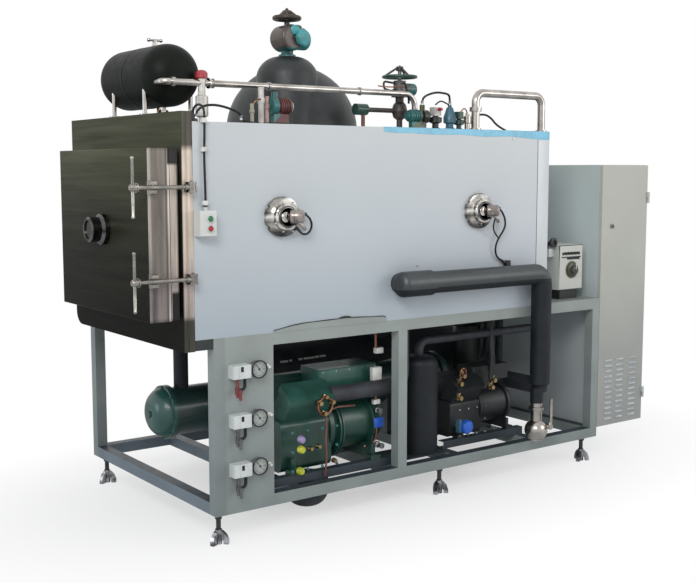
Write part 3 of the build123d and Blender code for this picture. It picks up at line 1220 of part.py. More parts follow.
# ---- write every node ----
NODES = {
    "frame": frame,
    "levelling_feet": levelling_feet,
    "gauge_panel": gauge_panel,
    "chamber_vessel": chamber_vessel,
    "chamber_insulation": chamber_insulation,
    "chamber_cladding": chamber_cladding,
    "product_shelves": product_shelves,
    "door_gasket": door_gasket,
    "door": door,
    "door_port": door_port,
    "door_port_glass": door_port_glass,
    "flange_brackets": flange_brackets,
    "door_brackets": door_brackets,
    "sight_ports": sight_ports,
    "port_glasses": port_glasses,
    "cable_glands": cable_glands,
    "left_lamp_cable": left_lamp_cable,
    "right_lamp_cable": right_lamp_cable,
    "button_box": button_box,
    "button_cable": button_cable,
    "pipe_insulation": pipe_insulation,
    "drain_valve": drain_valve,
    "drain_lever": drain_lever,
    "condenser_shell": condenser_shell,
    "condenser_covers": condenser_covers,
    "expansion_tank": expansion_tank,
    "tank_stand": tank_stand,
    "tank_cap": tank_cap,
    "stainless_pipes": stainless_pipes,
    "relief_valve": relief_valve,
    "relief_hose": relief_hose,
    "duct_insulation": duct_insulation,
    "duct_valve": duct_valve,
    "duct_handwheel": duct_handwheel,
    "roof_pumps": roof_pumps,
    "globe_valve": globe_valve,
    "globe_handwheel": globe_handwheel,
    "solenoid_valves": solenoid_valves,
    "pump_hose": pump_hose,
    "cabinet_shell": cabinet_shell,
    "cabinet_door": cabinet_door,
    "cabinet_lock": cabinet_lock,
    "control_gear": control_gear,
    "instrument_box": instrument_box,
    "instrument_knob": instrument_knob,
    "left_compressor": left_compressor,
    "right_compressor": right_compressor,
    "refrigerant_lines": refrigerant_lines,
}
for name, make in NODES.items():
    save(name, make())
for name, level in zip(("lower", "upper"), CLAMP_LEVELS):
    save(name + "_swing_bolt", swing_bolt(level))
    save(name + "_t_handle", t_handle(level))
for name, level in BUTTON_LEVELS.items():
    save(name, button(level))
save("gauges", [gauge(z) for z in GAUGE_LEVELS.values()])
save("pressure_switches", [pressure_switch(z) for z in GAUGE_LEVELS.values()])
save("gauge_valves", [small_valve(z) for z in GAUGE_LEVELS.values()])
for name, level in GAUGE_LEVELS.items():
    save("gauge_handle_" + name, small_handle(level))
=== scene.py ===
# %% [markdown]
# # A vacuum freeze dryer
# The machine dries product under vacuum. An insulated chamber with a clamped door sits on an open
# frame that holds the compressors, the condenser and the ice trap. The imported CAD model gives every
# place and size; this lesson gives the surfaces, the small parts, the cords and the light.
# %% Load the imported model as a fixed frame
import json
from contextlib import contextmanager
from math import cos, hypot, pi, radians, sin

import bmesh
import bpy
from mathutils import Euler, Matrix, Vector


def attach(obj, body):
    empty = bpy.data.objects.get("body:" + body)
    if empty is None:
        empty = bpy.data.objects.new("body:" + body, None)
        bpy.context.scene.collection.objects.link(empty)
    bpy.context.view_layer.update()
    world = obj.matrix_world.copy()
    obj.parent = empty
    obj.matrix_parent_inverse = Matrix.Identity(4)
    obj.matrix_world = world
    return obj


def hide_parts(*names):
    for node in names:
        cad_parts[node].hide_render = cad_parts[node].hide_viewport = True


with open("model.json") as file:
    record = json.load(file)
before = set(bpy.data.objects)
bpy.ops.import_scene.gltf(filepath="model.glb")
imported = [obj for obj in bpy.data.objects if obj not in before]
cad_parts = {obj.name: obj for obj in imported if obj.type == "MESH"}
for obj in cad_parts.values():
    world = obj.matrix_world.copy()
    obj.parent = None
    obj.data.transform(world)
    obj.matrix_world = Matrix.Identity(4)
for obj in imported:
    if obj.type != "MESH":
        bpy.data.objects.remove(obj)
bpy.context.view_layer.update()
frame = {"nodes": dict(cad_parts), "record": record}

nodes = frame["nodes"]
slot_of = {part["node"]: part["material_slot"] for part in frame["record"]["subparts"]}

# %% [markdown]
# ## Places in millimetres
# The drawing of this machine counts millimetres from the outer front left corner of the base frame.
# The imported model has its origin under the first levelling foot, half a tube further in. One small
# function turns a drawing place into a Blender place, so every later number can be a drawing number.
# A second one gives a matrix that also scales and turns, for shapes drawn in millimetres about Z.
# %% Turn a drawing place into metres
HALF_TUBE = 25.0
OUT_FRONT = (pi / 2, 0, 0)     # turns Z so that it points out of the front
OUT_LEFT = (0, -pi / 2, 0)
OUT_RIGHT = (0, pi / 2, 0)


def at(x, y, z):
    return Vector(((x - HALF_TUBE) / 1000, (y - HALF_TUBE) / 1000, z / 1000))


def spot(x, y, z, turn=(0, 0, 0)):
    return Matrix.Translation(at(x, y, z)) @ Euler(turn).to_matrix().to_4x4() @ Matrix.Scale(0.001, 4)


print("frame corner", [round(v, 3) for v in at(0, 0, 0)])

# %% [markdown]
# ## Camera
# The view is from eye height, well to the left of the machine and about four metres in front of it,
# turned 36 degrees to the right. A lens of 56 mm on a 36 mm sensor frames it with little distortion.
# %% Make the camera
EYE = (-2070.2, -3705.8, 1500.0)
LOOK_DOWN, LOOK_RIGHT = 6.378, 36.333     # degrees
LENS, SENSOR = 56.13, 36.0


def show(name, data):
    """An object of this data, linked to the scene."""
    thing = bpy.data.objects.new(name, data)
    bpy.context.scene.collection.objects.link(thing)
    return thing


camera_data = bpy.data.cameras.new("studio_camera")
camera_data.lens, camera_data.sensor_width, camera_data.clip_end = LENS, SENSOR, 90.0
camera = show("studio_camera", camera_data)
camera.location = at(*EYE)
camera.rotation_euler = (radians(90 - LOOK_DOWN), 0.0, radians(-LOOK_RIGHT))
bpy.context.scene.camera = camera
print("camera at", [round(v, 3) for v in camera.location])

# %% [markdown]
# ## Pieces of a material
# A finish is a small tree of nodes. Five short functions make its pieces: an empty tree, a noise
# pattern, a colour ramp, the share of the way between two places, and one colour times another. All
# patterns read Object coordinates, which are metres here, so a scale of 200 is a grain of about 5 mm.
# %% Small functions for node trees
def tree_of(name):
    material = bpy.data.materials.new(name)
    material.use_nodes = True
    tree = material.node_tree
    tree.nodes.clear()
    output = tree.nodes.new("ShaderNodeOutputMaterial")
    shader = tree.nodes.new("ShaderNodeBsdfPrincipled")
    tree.links.new(shader.outputs["BSDF"], output.inputs["Surface"])
    return material, tree, shader


def noise(tree, scale, detail=4.0, stretch=(1, 1, 1)):
    place = tree.nodes.new("ShaderNodeTexCoord")
    texture = tree.nodes.new("ShaderNodeTexNoise")
    texture.inputs["Scale"].default_value = scale
    texture.inputs["Detail"].default_value = detail
    mapping = tree.nodes.new("ShaderNodeMapping")
    mapping.inputs["Scale"].default_value = stretch
    tree.links.new(place.outputs["Object"], mapping.inputs["Vector"])
    tree.links.new(mapping.outputs["Vector"], texture.inputs["Vector"])
    return texture.outputs["Fac"]


def ramp(tree, source, stops):
    """A colour ramp from (position, colour) stops."""
    node = tree.nodes.new("ShaderNodeValToRGB")
    band = node.color_ramp
    while len(band.elements) < len(stops):
        band.elements.new(0.5)
    for element, (position, colour) in zip(band.elements, stops):
        element.position, element.color = position, (*colour, 1)
    tree.links.new(source, node.inputs["Fac"])
    return node.outputs["Color"]


def share_along(tree, axis, low, high):
    """From 0 to 1 between two drawing places along an axis."""
    place = tree.nodes.new("ShaderNodeTexCoord")
    split = tree.nodes.new("ShaderNodeSeparateXYZ")
    span = tree.nodes.new("ShaderNodeMapRange")
    shift = 0.0 if axis == "Z" else HALF_TUBE
    span.inputs["From Min"].default_value = (low - shift) / 1000
    span.inputs["From Max"].default_value = (high - shift) / 1000
    tree.links.new(place.outputs["Object"], split.inputs["Vector"])
    tree.links.new(split.outputs[axis], span.inputs["Value"])
    return span.outputs["Result"]


def times(tree, one, two):
    node = tree.nodes.new("ShaderNodeMix")
    node.data_type, node.blend_type = "RGBA", "MULTIPLY"
    node.inputs[0].default_value = 1.0
    tree.links.new(one, node.inputs[6])
    tree.links.new(two, node.inputs[7])
    return node.outputs[2]


print("tree functions ready")

# %% [markdown]
# ## One builder for all finishes
# Painted, moulded and rolled surfaces differ in numbers more than in kind, so one builder makes them
# all: a base colour that wanders a little, a roughness that wanders with it, and a fine bump. A tone
# is a tint that changes between two places, and every tone here paints light and shade into the
# colour. It stands for the way that tall sheets reflect a dark floor low down and a bright room
# higher up, and for the shade low down and on faces turned away from the lamps.
# %% The finish builder
FINISHES = {}
ROUGH_SPREAD = 0.12
ROUGH_SCALE = 4.3         # the roughness wanders this much more finely than the colour


def tone(axis, low, high, *stops):
    """A tint between two places; a stop is (share, grey) or (share, red, green, blue)."""
    return axis, low, high, [(stop[0], stop[1:] if len(stop) == 4 else stop[1:] * 3) for stop in stops]


def shade(colour, factor):
    return tuple(min(1.0, c * factor) for c in colour)


def finish(name, colour, rough, metal=0, mottle=(3.0, 0.12), grain=(300.0, 0.05), stretch=(1, 1, 1),
           coat=0.0, specular=0.5, along=(), contrast=0.18):
    """Keeps a finish under its name.

    mottle is (scale, depth) of the patches and grain is (scale, strength) of the bump, or None.
    stretch draws the patches out along an axis, and along lists the tones that tint the colour.
    """
    material, tree, shader = tree_of(name)
    patches = noise(tree, mottle[0], stretch=stretch)
    base = ramp(tree, patches, [(0.5 - contrast, shade(colour, 1 - mottle[1])),
                                (0.5 + contrast, shade(colour, 1 + mottle[1] * 0.6))])
    for axis, low, high, stops in along:
        base = times(tree, base, ramp(tree, share_along(tree, axis, low, high), stops))
    tree.links.new(base, shader.inputs["Base Color"])
    wander = tree.nodes.new("ShaderNodeMapRange")
    wander.inputs["To Min"].default_value = max(0.03, rough - ROUGH_SPREAD)
    wander.inputs["To Max"].default_value = min(1.0, rough + ROUGH_SPREAD)
    tree.links.new(noise(tree, mottle[0] * ROUGH_SCALE, stretch=stretch), wander.inputs["Value"])
    tree.links.new(wander.outputs["Result"], shader.inputs["Roughness"])
    for label, value in {"Metallic": metal, "Coat Weight": coat, "Specular IOR Level": specular}.items():
        shader.inputs[label].default_value = value
    if grain:
        bump = tree.nodes.new("ShaderNodeBump")
        bump.inputs["Strength"].default_value = grain[1]
        bump.inputs["Distance"].default_value = 0.001
        tree.links.new(noise(tree, grain[0], 3.0, stretch), bump.inputs["Height"])
        tree.links.new(bump.outputs["Normal"], shader.inputs["Normal"])
    FINISHES[name] = material
    return material


print("finish builder ready")

# %% [markdown]
# ## Frame, casing and door
# The frame and the casing are painted, with the slight orange peel of sprayed paint. Their tones are
# painted light and shade: casing and frame are darker low down and at their left end, and the cabinet
# is lighter at its top. The cabinet's side and front are one paint, and the side's lighter, bluer
# colour is painted light. The door and the flange are brushed stainless, drawn as a dark surface with
# long streaks and hardly any mirror, because a true metal would show a bright empty room; that dark
# colour is a painted reflection of a dark room. The door is nearly black at its foot and pale at its
# top, and a tone between those two heights paints that reflection.
# %% Finishes of the large sheets
SHEET_FOOT, SHEET_TOP = 842, 1685
SHEET_PAINTED_LIGHT = [tone("Z", SHEET_FOOT, SHEET_TOP,
                    (0.0, 0.66, 0.71, 0.76), (0.5, 0.88, 0.90, 0.92), (1.0, 0.94, 0.94, 0.93)),
               tone("X", -80, 1870, (0.0, 0.84, 0.84, 0.83), (0.5, 0.89, 0.89, 0.88), (1.0, 1.0, 0.98, 0.96))]
DOOR_PAINTED_REFLECTION = [tone("Z", 800, 1723, (0.0, 0.08), (0.40, 0.18, 0.18, 0.19), (0.72, 0.50, 0.50, 0.45),
                   (0.86, 0.82, 0.82, 0.74), (1.0, 1.0, 1.0, 0.92))]
CABINET_FRONT_PAINTED_LIGHT = [tone("Z", 165, 1527, (0.0, 0.64, 0.65, 0.69), (0.30, 0.70, 0.71, 0.73), (0.55, 0.88),
                            (1.0, 1.0, 1.0, 0.98))]
CABINET_SIDE_PAINTED_LIGHT = [tone("Z", 165, 1527, (0.0, 0.98, 0.93, 0.97), (0.7, 1.0, 0.98, 1.0),
                           (1.0, 1.0, 1.0, 0.98))]
FRAME_PAINTED_SHADE = [tone("Z", 119, 846, (0.0, 0.72, 0.73, 0.76), (0.6, 0.88, 0.87, 0.90), (1.0, 0.98, 0.95, 0.95)),
               tone("X", 0, 62, (0.0, 0.84, 0.84, 0.86), (0.75, 0.84, 0.84, 0.86), (0.9, 1.0))]
STREAKS_AND_PAINTED_REFLECTION = dict(mottle=(5, 0.35), stretch=(0.3, 0.3, 7), specular=0.04, along=DOOR_PAINTED_REFLECTION)

finish("frame_paint", (0.300, 0.345, 0.325), 0.42, 0, (5.0, 0.12), (420, 0.08), along=FRAME_PAINTED_SHADE)
finish("flange_steel", (0.078, 0.082, 0.055), 0.42, grain=(260, 0.05), **STREAKS_AND_PAINTED_REFLECTION)
finish("door_steel", (0.087, 0.091, 0.060), 0.40, grain=(260, 0.04), **STREAKS_AND_PAINTED_REFLECTION)
finish("white_panel", (0.668, 0.708, 0.740), 0.40, 0, (1.1, 0.03), (380, 0.03), along=SHEET_PAINTED_LIGHT)
# Painted light: the side's colour is lighter and bluer than the front's.
finish("cabinet_side", (0.500, 0.575, 0.570), 0.48, 0, (3, 0.06), (650, 0.15), along=CABINET_SIDE_PAINTED_LIGHT)
finish("cabinet_front", (0.500, 0.510, 0.465), 0.46, 0, (3, 0.05), (650, 0.15), along=CABINET_FRONT_PAINTED_LIGHT)
finish("box_paint", (0.560, 0.570, 0.530), 0.46, 0, (3, 0.05), (650, 0.15))
# Painted shade: the two rail finishes darken the lower rails.
finish("rail_shade", (0.135, 0.170, 0.205), 0.42, 0, (5.0, 0.12), (420, 0.08))
finish("rail_dark", (0.030, 0.042, 0.052), 0.46, 0, (5.0, 0.25), (420, 0.08))
finish("edge_white", (0.640, 0.670, 0.690), 0.36, 0, (3, 0.05), (380, 0.03))
finish("blue_film", (0.125, 0.450, 0.640), 0.26, 0, (16, 0.16), (60, 0.35), coat=0.3)
print(len(FINISHES), "finishes for sheets and frame")

# %% [markdown]
# ## Bright metals
# Polished rings and chromed feet mirror the room in bands. A metal surface alone would mirror an
# even white world and look flat, so the mottle of the polished ones is strong and its edge is
# sharp, a painted reflection, and the sight ports get a tone with dark and light bands over their
# height, which is a painted reflection as well.
# %% Finishes of the bright metals
PORT_PAINTED_REFLECTION = [tone("Z", 1232, 1394, (0.0, 0.10), (0.12, 0.16, 0.16, 0.17), (0.26, 0.80, 0.78, 0.76),
                   (0.38, 0.26, 0.25, 0.24), (0.50, 1.0), (0.60, 0.16), (0.74, 0.62, 0.60, 0.58),
                   (0.92, 0.85), (1.0, 0.12))]
finish("foot_chrome", (0.40, 0.40, 0.42), 0.18, 1, (38, 0.65), (500, 0.04), contrast=0.10)
finish("shelf_steel", (0.60, 0.60, 0.61), 0.30, 1, (6, 0.10), (300, 0.05), (1, 12, 1))
finish("port_steel", (0.80, 0.77, 0.73), 0.22, 1, (18, 0.45), (400, 0.04), contrast=0.10, along=PORT_PAINTED_REFLECTION)
finish("clamp_steel", (0.34, 0.32, 0.29), 0.26, 1, (25, 0.30), (400, 0.05))
finish("stainless", (0.46, 0.43, 0.40), 0.22, 1, (12, 0.30), (350, 0.03))
finish("lock_chrome", (0.30, 0.30, 0.29), 0.26, 1, (30, 0.15), (500, 0.04))
finish("small_valve_metal", (0.15, 0.15, 0.15), 0.32, 0.8, (40, 0.3), (500, 0.08))
finish("lamp_steel", (0.34, 0.30, 0.28), 0.30, 0.8, (30, 0.35), (400, 0.05), contrast=0.12)
finish("chrome_dark", (0.10, 0.10, 0.10), 0.20, 1, (22, 0.6), (400, 0.04), contrast=0.10)
finish("chrome_bright", (0.62, 0.58, 0.54), 0.16, 1, (26, 0.55), (400, 0.04), contrast=0.10)
TURNED_METALS = {"brass": (0.34, 0.25, 0.13), "copper": (0.26, 0.115, 0.075), "plated": (0.42, 0.42, 0.43),
                 "pale_union": (0.58, 0.55, 0.48)}
for name, colour in TURNED_METALS.items():
    finish(name, colour, 0.28, 1, (40, 0.30), (400, 0.08))
print(len(FINISHES), "finishes with the metals")

# %% [markdown]
# ## The clamping band of the flange
# The two clamps press on a bright band of the flange, in which door, bolts and room mirror as upright
# stripes. A tone along X paints the stripes as a painted reflection, and one along Z ends them above
# and below. Behind the pivot of each swing bolt the band lies in deep shade, which is painted. No tone
# can darken a single place, so two ramps are multiplied into a patch of painted shade, and the patch
# takes nearly all the colour away.
# %% Finish of the band, with its two shaded places
BAND_PAINTED_LIGHT = [tone("X", -270, -81, (0.0, 0.62), (0.05, 0.62), (0.08, 0.30), (0.22, 0.36, 0.35, 0.34),
                   (0.36, 0.30, 0.30, 0.29), (0.41, 0.10), (0.45, 1.0), (0.62, 0.85, 0.80, 0.74),
                   (0.65, 0.10), (0.75, 0.10), (0.78, 0.92, 0.88, 0.82), (0.86, 0.60, 0.55, 0.50),
                   (0.90, 1.0, 0.97, 0.92), (1.0, 0.95, 0.90, 0.84)),
              tone("Z", 860, 1660, (0.0, 0.10, 0.11, 0.10), (0.075, 0.10, 0.11, 0.10),
                   (0.10, 0.85, 0.85, 0.92), (0.22, 0.80, 0.78, 0.86), (0.40, 1.0), (0.89, 1.0),
                   (0.92, 0.12, 0.13, 0.11))]
UPPER_SHADE = {"X": (-191, -140), "Z": (1516, 1620)}
LOWER_SHADE = {"X": (-178, -134), "Z": (905, 1044)}
BLACK, WHITE = (0, 0, 0), (1, 1, 1)


def darken(name, patches, left=0.02):
    """Leaves only a share of a finish's colour inside each patch."""
    tree = FINISHES[name].node_tree
    shader = next(node for node in tree.nodes if node.type == "BSDF_PRINCIPLED")
    base = shader.inputs["Base Color"].links[0].from_socket
    inside = [(0.0, BLACK), (0.10, WHITE), (0.90, WHITE), (1.0, BLACK)]
    for patch in patches:
        across, upright = (ramp(tree, share_along(tree, axis, *span), inside) for axis, span in patch.items())
        base = times(tree, base, ramp(tree, times(tree, across, upright), [(0.0, WHITE), (1.0, (left,) * 3)]))
    tree.links.new(base, shader.inputs["Base Color"])


finish("band_steel", (0.640, 0.570, 0.510), 0.30, 0.30, (7, 0.45), (200, 0.10), (3.5, 1, 0.25),
       along=BAND_PAINTED_LIGHT, contrast=0.12)
darken("band_steel", (UPPER_SHADE, LOWER_SHADE))
print("band with", len(BAND_PAINTED_LIGHT), "tones and two shaded places")

# %% [markdown]
# ## Foam, rubber and plastics
# Closed-cell foam has a rough skin with a soft shine. The thick front pipe mirrors the light room
# along its top and stays dull below, so foam has several finishes that differ in their shine. The
# dull one is darker as well, a painted shade on the pipe's drop and on a lagged vessel among the
# refrigerant lines.
# Rubber and moulded plastic are plain, with a fine grain and little mottle.
# %% Finishes of the foams, rubbers and plastics
CELLS = dict(mottle=(14, 0.30), grain=(240, 0.45))
RUBBER = dict(mottle=(30, 0.2), grain=(600, 0.04), specular=0.3)
finish("black_foam", (0.017, 0.021, 0.022), 0.47, **CELLS)
finish("foam_sheen", (0.013, 0.019, 0.022), 0.44, specular=0.85, **CELLS)
finish("foam_dull", (0.010, 0.013, 0.017), 0.52, specular=0.28, **CELLS)
finish("line_foam", (0.038, 0.042, 0.050), 0.60, 0, (12, 0.30), (260, 0.45), specular=0.35)
finish("seal_rubber", (0.035, 0.034, 0.033), 0.70, 0, (20, 0.2), (300, 0.1))
finish("cable_black", (0.010, 0.011, 0.013), 0.50, **RUBBER)
finish("hose_rubber", (0.010, 0.011, 0.013), 0.46, **RUBBER)
finish("black_plastic", (0.016, 0.016, 0.018), 0.42, 0, (30, 0.2), (500, 0.05))
finish("box_plastic", (0.62, 0.64, 0.62), 0.32, 0, (8, 0.06), (500, 0.03), coat=0.2)
finish("coil_plastic", (0.050, 0.080, 0.050), 0.36, 0, (18, 0.25), (400, 0.06))
finish("gear_plastic", (0.20, 0.22, 0.23), 0.50, 0, (8, 0.15), (400, 0.05))
finish("knob_plastic", (0.050, 0.050, 0.036), 0.35, 0, (30, 0.2), (500, 0.05))
finish("switch_plastic", (0.60, 0.63, 0.63), 0.30, 0, (14, 0.10), (400, 0.06))
finish("gauge_face", (0.36, 0.39, 0.37), 0.26, 0, (40, 0.08), (500, 0.03))
finish("port_glass", (0.012, 0.012, 0.012), 0.05, 0, (20, 0.2), None, specular=0.4)
finish("button_red", (0.42, 0.012, 0.030), 0.28, 0, (40, 0.1), None, coat=0.3)
finish("button_green", (0.010, 0.18, 0.060), 0.28, 0, (40, 0.1), None, coat=0.3)
finish("handle_red", (0.18, 0.030, 0.030), 0.36, 0, (40, 0.2), None, coat=0.3)
finish("handle_grey", (0.10, 0.11, 0.115), 0.40, 0, (40, 0.2), (400, 0.05))
print(len(FINISHES), "finishes with foam, rubber and plastic")

# %% [markdown]
# ## Painted castings
# Compressors, pumps and valves are castings under a thick glossy paint, whose coarse bump is the
# cast skin. The compressor in the left bay gets darker towards the floor of its bay, a painted
# shade, so it has a tone of its own.
# %% Finishes of the castings
MACHINE_PAINTED_SHADE = [tone("Z", 190, 520, (0.0, 0.30, 0.46, 0.42), (0.6, 0.36, 0.54, 0.50), (1.0, 1.05))]
finish("condenser_paint", (0.018, 0.047, 0.043), 0.34, 0, (6, 0.25), (300, 0.08), coat=0.2)
finish("condenser_cap", (0.016, 0.070, 0.060), 0.34, 0, (12, 0.20), (300, 0.12), coat=0.2)
finish("tank_steel", (0.008, 0.010, 0.008), 0.46, 0, (9, 0.30), (240, 0.30), specular=0.10)
finish("relief_body", (0.62, 0.60, 0.55), 0.34, 0.2, (30, 0.25), (400, 0.10))
finish("valve_iron", (0.070, 0.058, 0.052), 0.38, 0.2, (18, 0.35), (300, 0.18))
finish("wheel_iron", (0.050, 0.040, 0.032), 0.40, 0.3, (18, 0.35), (300, 0.15))
finish("pump_paint", (0.120, 0.036, 0.036), 0.38, 0, (18, 0.30), (300, 0.12))
finish("machine_paint", (0.024, 0.088, 0.068), 0.36, 0, (10, 0.35), (240, 0.20), coat=0.15,
       along=MACHINE_PAINTED_SHADE)
finish("machine_paint_dark", (0.010, 0.013, 0.014), 0.46, 0, (8, 0.35), (240, 0.20))
missing = sorted(set(slot_of.values()) - set(FINISHES))
print(len(FINISHES), "finishes;", "slots still without one:", missing or "none")

# %% [markdown]
# ## Enamels for parts of a casting
# A valve or a pump on the real machine is painted, plated and moulded in several colours. These
# plain enamels go on single regions of the CAD nodes and on the small pieces.
# %% Make the enamels
ENAMELS = {
    "teal_enamel": (0.030, 0.140, 0.135), "blue_enamel": (0.050, 0.150, 0.210),
    "green_enamel": (0.022, 0.070, 0.052), "brown_enamel": (0.085, 0.062, 0.052),
    "grey_enamel": (0.130, 0.120, 0.125), "rust_enamel": (0.170, 0.060, 0.045),
    # The dark enamel is real black paint on most parts, and painted shade in the slots of the louvres and the
    # instrument box.
    "olive_enamel": (0.090, 0.095, 0.030), "dark_enamel": (0.014, 0.016, 0.015),
    "pale_enamel": (0.560, 0.540, 0.500), "red_enamel": (0.420, 0.035, 0.050),
    "beige_enamel": (0.340, 0.310, 0.240), "pink_enamel": (0.400, 0.260, 0.240),
    "cyan_enamel": (0.060, 0.330, 0.350), "violet_cap": (0.300, 0.230, 0.420),
    "yellow_cap": (0.480, 0.520, 0.030), "cobalt_plastic": (0.018, 0.110, 0.560),
    "white_plastic": (0.720, 0.720, 0.680), "film_dark": (0.022, 0.022, 0.020),
    "louvre_pale": (0.520, 0.560, 0.580),
}
for name, colour in ENAMELS.items():
    finish(name, colour, 0.36, 0, (26, 0.28), (340, 0.12), coat=0.1)
print(len(FINISHES), "finishes in all")

# %% [markdown]
# ## Dress the CAD nodes
# The CAD meshes are loose triangles. A weld joins them and an edge split keeps the sharp edges
# crisp while gentle curves turn smooth. The welded frame of square tubes stays flat shaded, because
# its tubes only touch each other.
# %% Give every CAD node its finish and soft edges
SHARP = radians(38)
for name, node in nodes.items():
    node.data.materials.clear()
    node.data.materials.append(FINISHES[slot_of[name]])
    if name == "frame":
        continue
    node.data.polygons.foreach_set("use_smooth", [True] * len(node.data.polygons))
    node.modifiers.new("weld", "WELD").merge_threshold = 1e-5
    node.modifiers.new("split", "EDGE_SPLIT").split_angle = SHARP
print("dressed", len(nodes), "nodes")

# %% [markdown]
# ## Paint regions of a node
# Real castings are painted in one colour and carry caps, rims and unions in another. A node's
# triangles can each point at their own material, so a region is simply a test on the triangle's
# middle and its direction, in drawing millimetres. The shape itself is never touched. The feet of
# the machine, for instance, have bright pads under dark stems.
# %% A painter for regions, tried on the levelling feet
def paint(name, *regions):
    """Gives the triangles that pass each test(x, y, z, normal) its finish; later regions win."""
    mesh = nodes[name].data
    counts = []
    for surface, test in regions:
        mesh.materials.append(FINISHES[surface])
        index, count = len(mesh.materials) - 1, 0
        for polygon in mesh.polygons:
            x, y, z = polygon.center
            if test(x * 1000 + HALF_TUBE, y * 1000 + HALF_TUBE, z * 1000, polygon.normal):
                polygon.material_index = index
                count += 1
        counts.append((surface, count))
    print(name, counts)


paint("levelling_feet", ("dark_enamel", lambda x, y, z, n: z > 58))

# %% [markdown]
# ## Chamber, door and frame
# The clamping band runs over the front edge of the flange and over the door's edge beside it. The
# vessel is bright steel inside. Underneath, the lower rails lie in the machine's own shadow, and two
# darker paints give that painted shade evenly, also on the outer faces of the left end and on the
# front of the back rail.
# %% Regions of the chamber, the pipe, the frame and the cabinet
BAND_RIGHT = -81.5
OVER_RAILS, OVER_SADDLES = 171, 330     # heights just above the bottom rails and the saddles
PAINTED_SHADE_BELOW = 985         # where the front pipe turns down, away from the light

paint("chamber_vessel", ("band_steel", lambda x, y, z, n: n.y < -0.9 and x < BAND_RIGHT),
      ("shelf_steel", lambda x, y, z, n: -120 < x and 61 < y < 789 and 996 < z < 1512))
paint("door", ("band_steel", lambda x, y, z, n: n.y < -0.5 and y < 12))
paint("chamber_cladding", ("film_dark", lambda x, y, z, n: z < SHEET_FOOT + 3 and abs(n.z) > 0.9))
paint("door_port", ("chrome_dark", lambda x, y, z, n: True))
# Painted shade: the front pipe's drop and the lagged vessel take the darker, duller foam.
paint("pipe_insulation", ("foam_sheen", lambda x, y, z, n: z > PAINTED_SHADE_BELOW),
      ("foam_dull", lambda x, y, z, n: z <= PAINTED_SHADE_BELOW))
paint("refrigerant_lines", ("foam_dull", lambda x, y, z, n: 1100 < x < 1292 and y < 264 and z < 640))
paint("frame",
      ("rail_shade",
       lambda x, y, z, n: z < OVER_RAILS and (n.x < -0.9 and x < 400 or n.y < -0.9 and y > 1100)),
      ("rail_dark", lambda x, y, z, n: z < OVER_RAILS and n.z > 0.9),
      ("rail_dark", lambda x, y, z, n: z < OVER_SADDLES and 52 < y < 1150 and 52 < x < 2212 and n.x > -0.9))
# Painted highlight on the louvre hoods, and painted shade on the sides of the louvre slots.
paint("cabinet_door", ("louvre_pale", lambda x, y, z, n: y < -0.4 and z < 540),
      ("dark_enamel", lambda x, y, z, n: y > 0.1 and y < 4.6 and 195 < z < 520 and abs(n.y) < 0.5))
# The box's base is dark, and its two slots take a painted shade.
paint("instrument_box", ("box_paint", lambda x, y, z, n: True),
      ("dark_enamel", lambda x, y, z, n: z < 895.5 or 60.5 < y < 64.6 and z > 1000),
      ("olive_enamel", lambda x, y, z, n: y < 59.9))

# %% [markdown]
# ## The gauge panel
# Each gauge is a plated bezel with a black edge round a white scale, and its needle is black. The
# distance from the middle of the nearest gauge tells bezel, scale and needle apart. The pressure
# switches have a small dark window. The shut-off valves have a black end, and the top one is red.
# %% Regions of the gauges, the switches and their valves
GAUGE_X, GAUGE_LEVELS = 193.0, (704.0, 504.0, 304.0)
BEZEL_R, EDGE_R, NEEDLE_R = 33.0, 32.3, 27
WINDOW_WIDE, WINDOW_HIGH = (94.6, 108.4), 22.6


def from_gauge(x, z):
    return min(hypot(x - GAUGE_X, z - level) for level in GAUGE_LEVELS)


def in_window(x, z):
    low, high = WINDOW_WIDE
    return low < x < high and any(level < z < level + WINDOW_HIGH for level in GAUGE_LEVELS)


paint("gauges", ("plated", lambda x, y, z, n: from_gauge(x, z) > BEZEL_R),
      ("dark_enamel", lambda x, y, z, n: from_gauge(x, z) > EDGE_R and y < -25),
      ("black_plastic", lambda x, y, z, n: y < -26.3 and from_gauge(x, z) < NEEDLE_R))
paint("pressure_switches", ("black_plastic", lambda x, y, z, n: y > -47.8 and in_window(x, z)))
paint("gauge_valves", ("cable_black", lambda x, y, z, n: x > 103),
      ("handle_red", lambda x, y, z, n: z > 560 and x < 103))

# %% [markdown]
# ## Valves and pumps on the roof
# On the roof, the colour changes along X from body to union to pump head, and along Z from casting
# to bonnet to cap. The limits of each region are the steps of the casting itself, so every colour
# ends on an edge.
# %% Regions of the valves
paint("duct_valve", ("teal_enamel", lambda x, y, z, n: z < 2060),
      ("brown_enamel", lambda x, y, z, n: z >= 2060 and x < 797),
      ("cyan_enamel", lambda x, y, z, n: z >= 2050 and x >= 797),
      ("green_enamel", lambda x, y, z, n: z > 2148 and x > 764),
      ("dark_enamel", lambda x, y, z, n: z > 2150 and x < 762))
paint("globe_valve", ("green_enamel", lambda x, y, z, n: x < 1004 and z > 1748),
      ("rust_enamel", lambda x, y, z, n: x < 1004 and z <= 1748),
      ("grey_enamel", lambda x, y, z, n: z > 1844), ("teal_enamel", lambda x, y, z, n: x > 1238),
      ("dark_enamel", lambda x, y, z, n: x < 1168 and z > 1850))
paint("globe_handwheel", ("green_enamel", lambda x, y, z, n: z < 1952))
paint("relief_valve", ("red_enamel", lambda x, y, z, n: z > 1866),
      ("dark_enamel", lambda x, y, z, n: z < 1700))
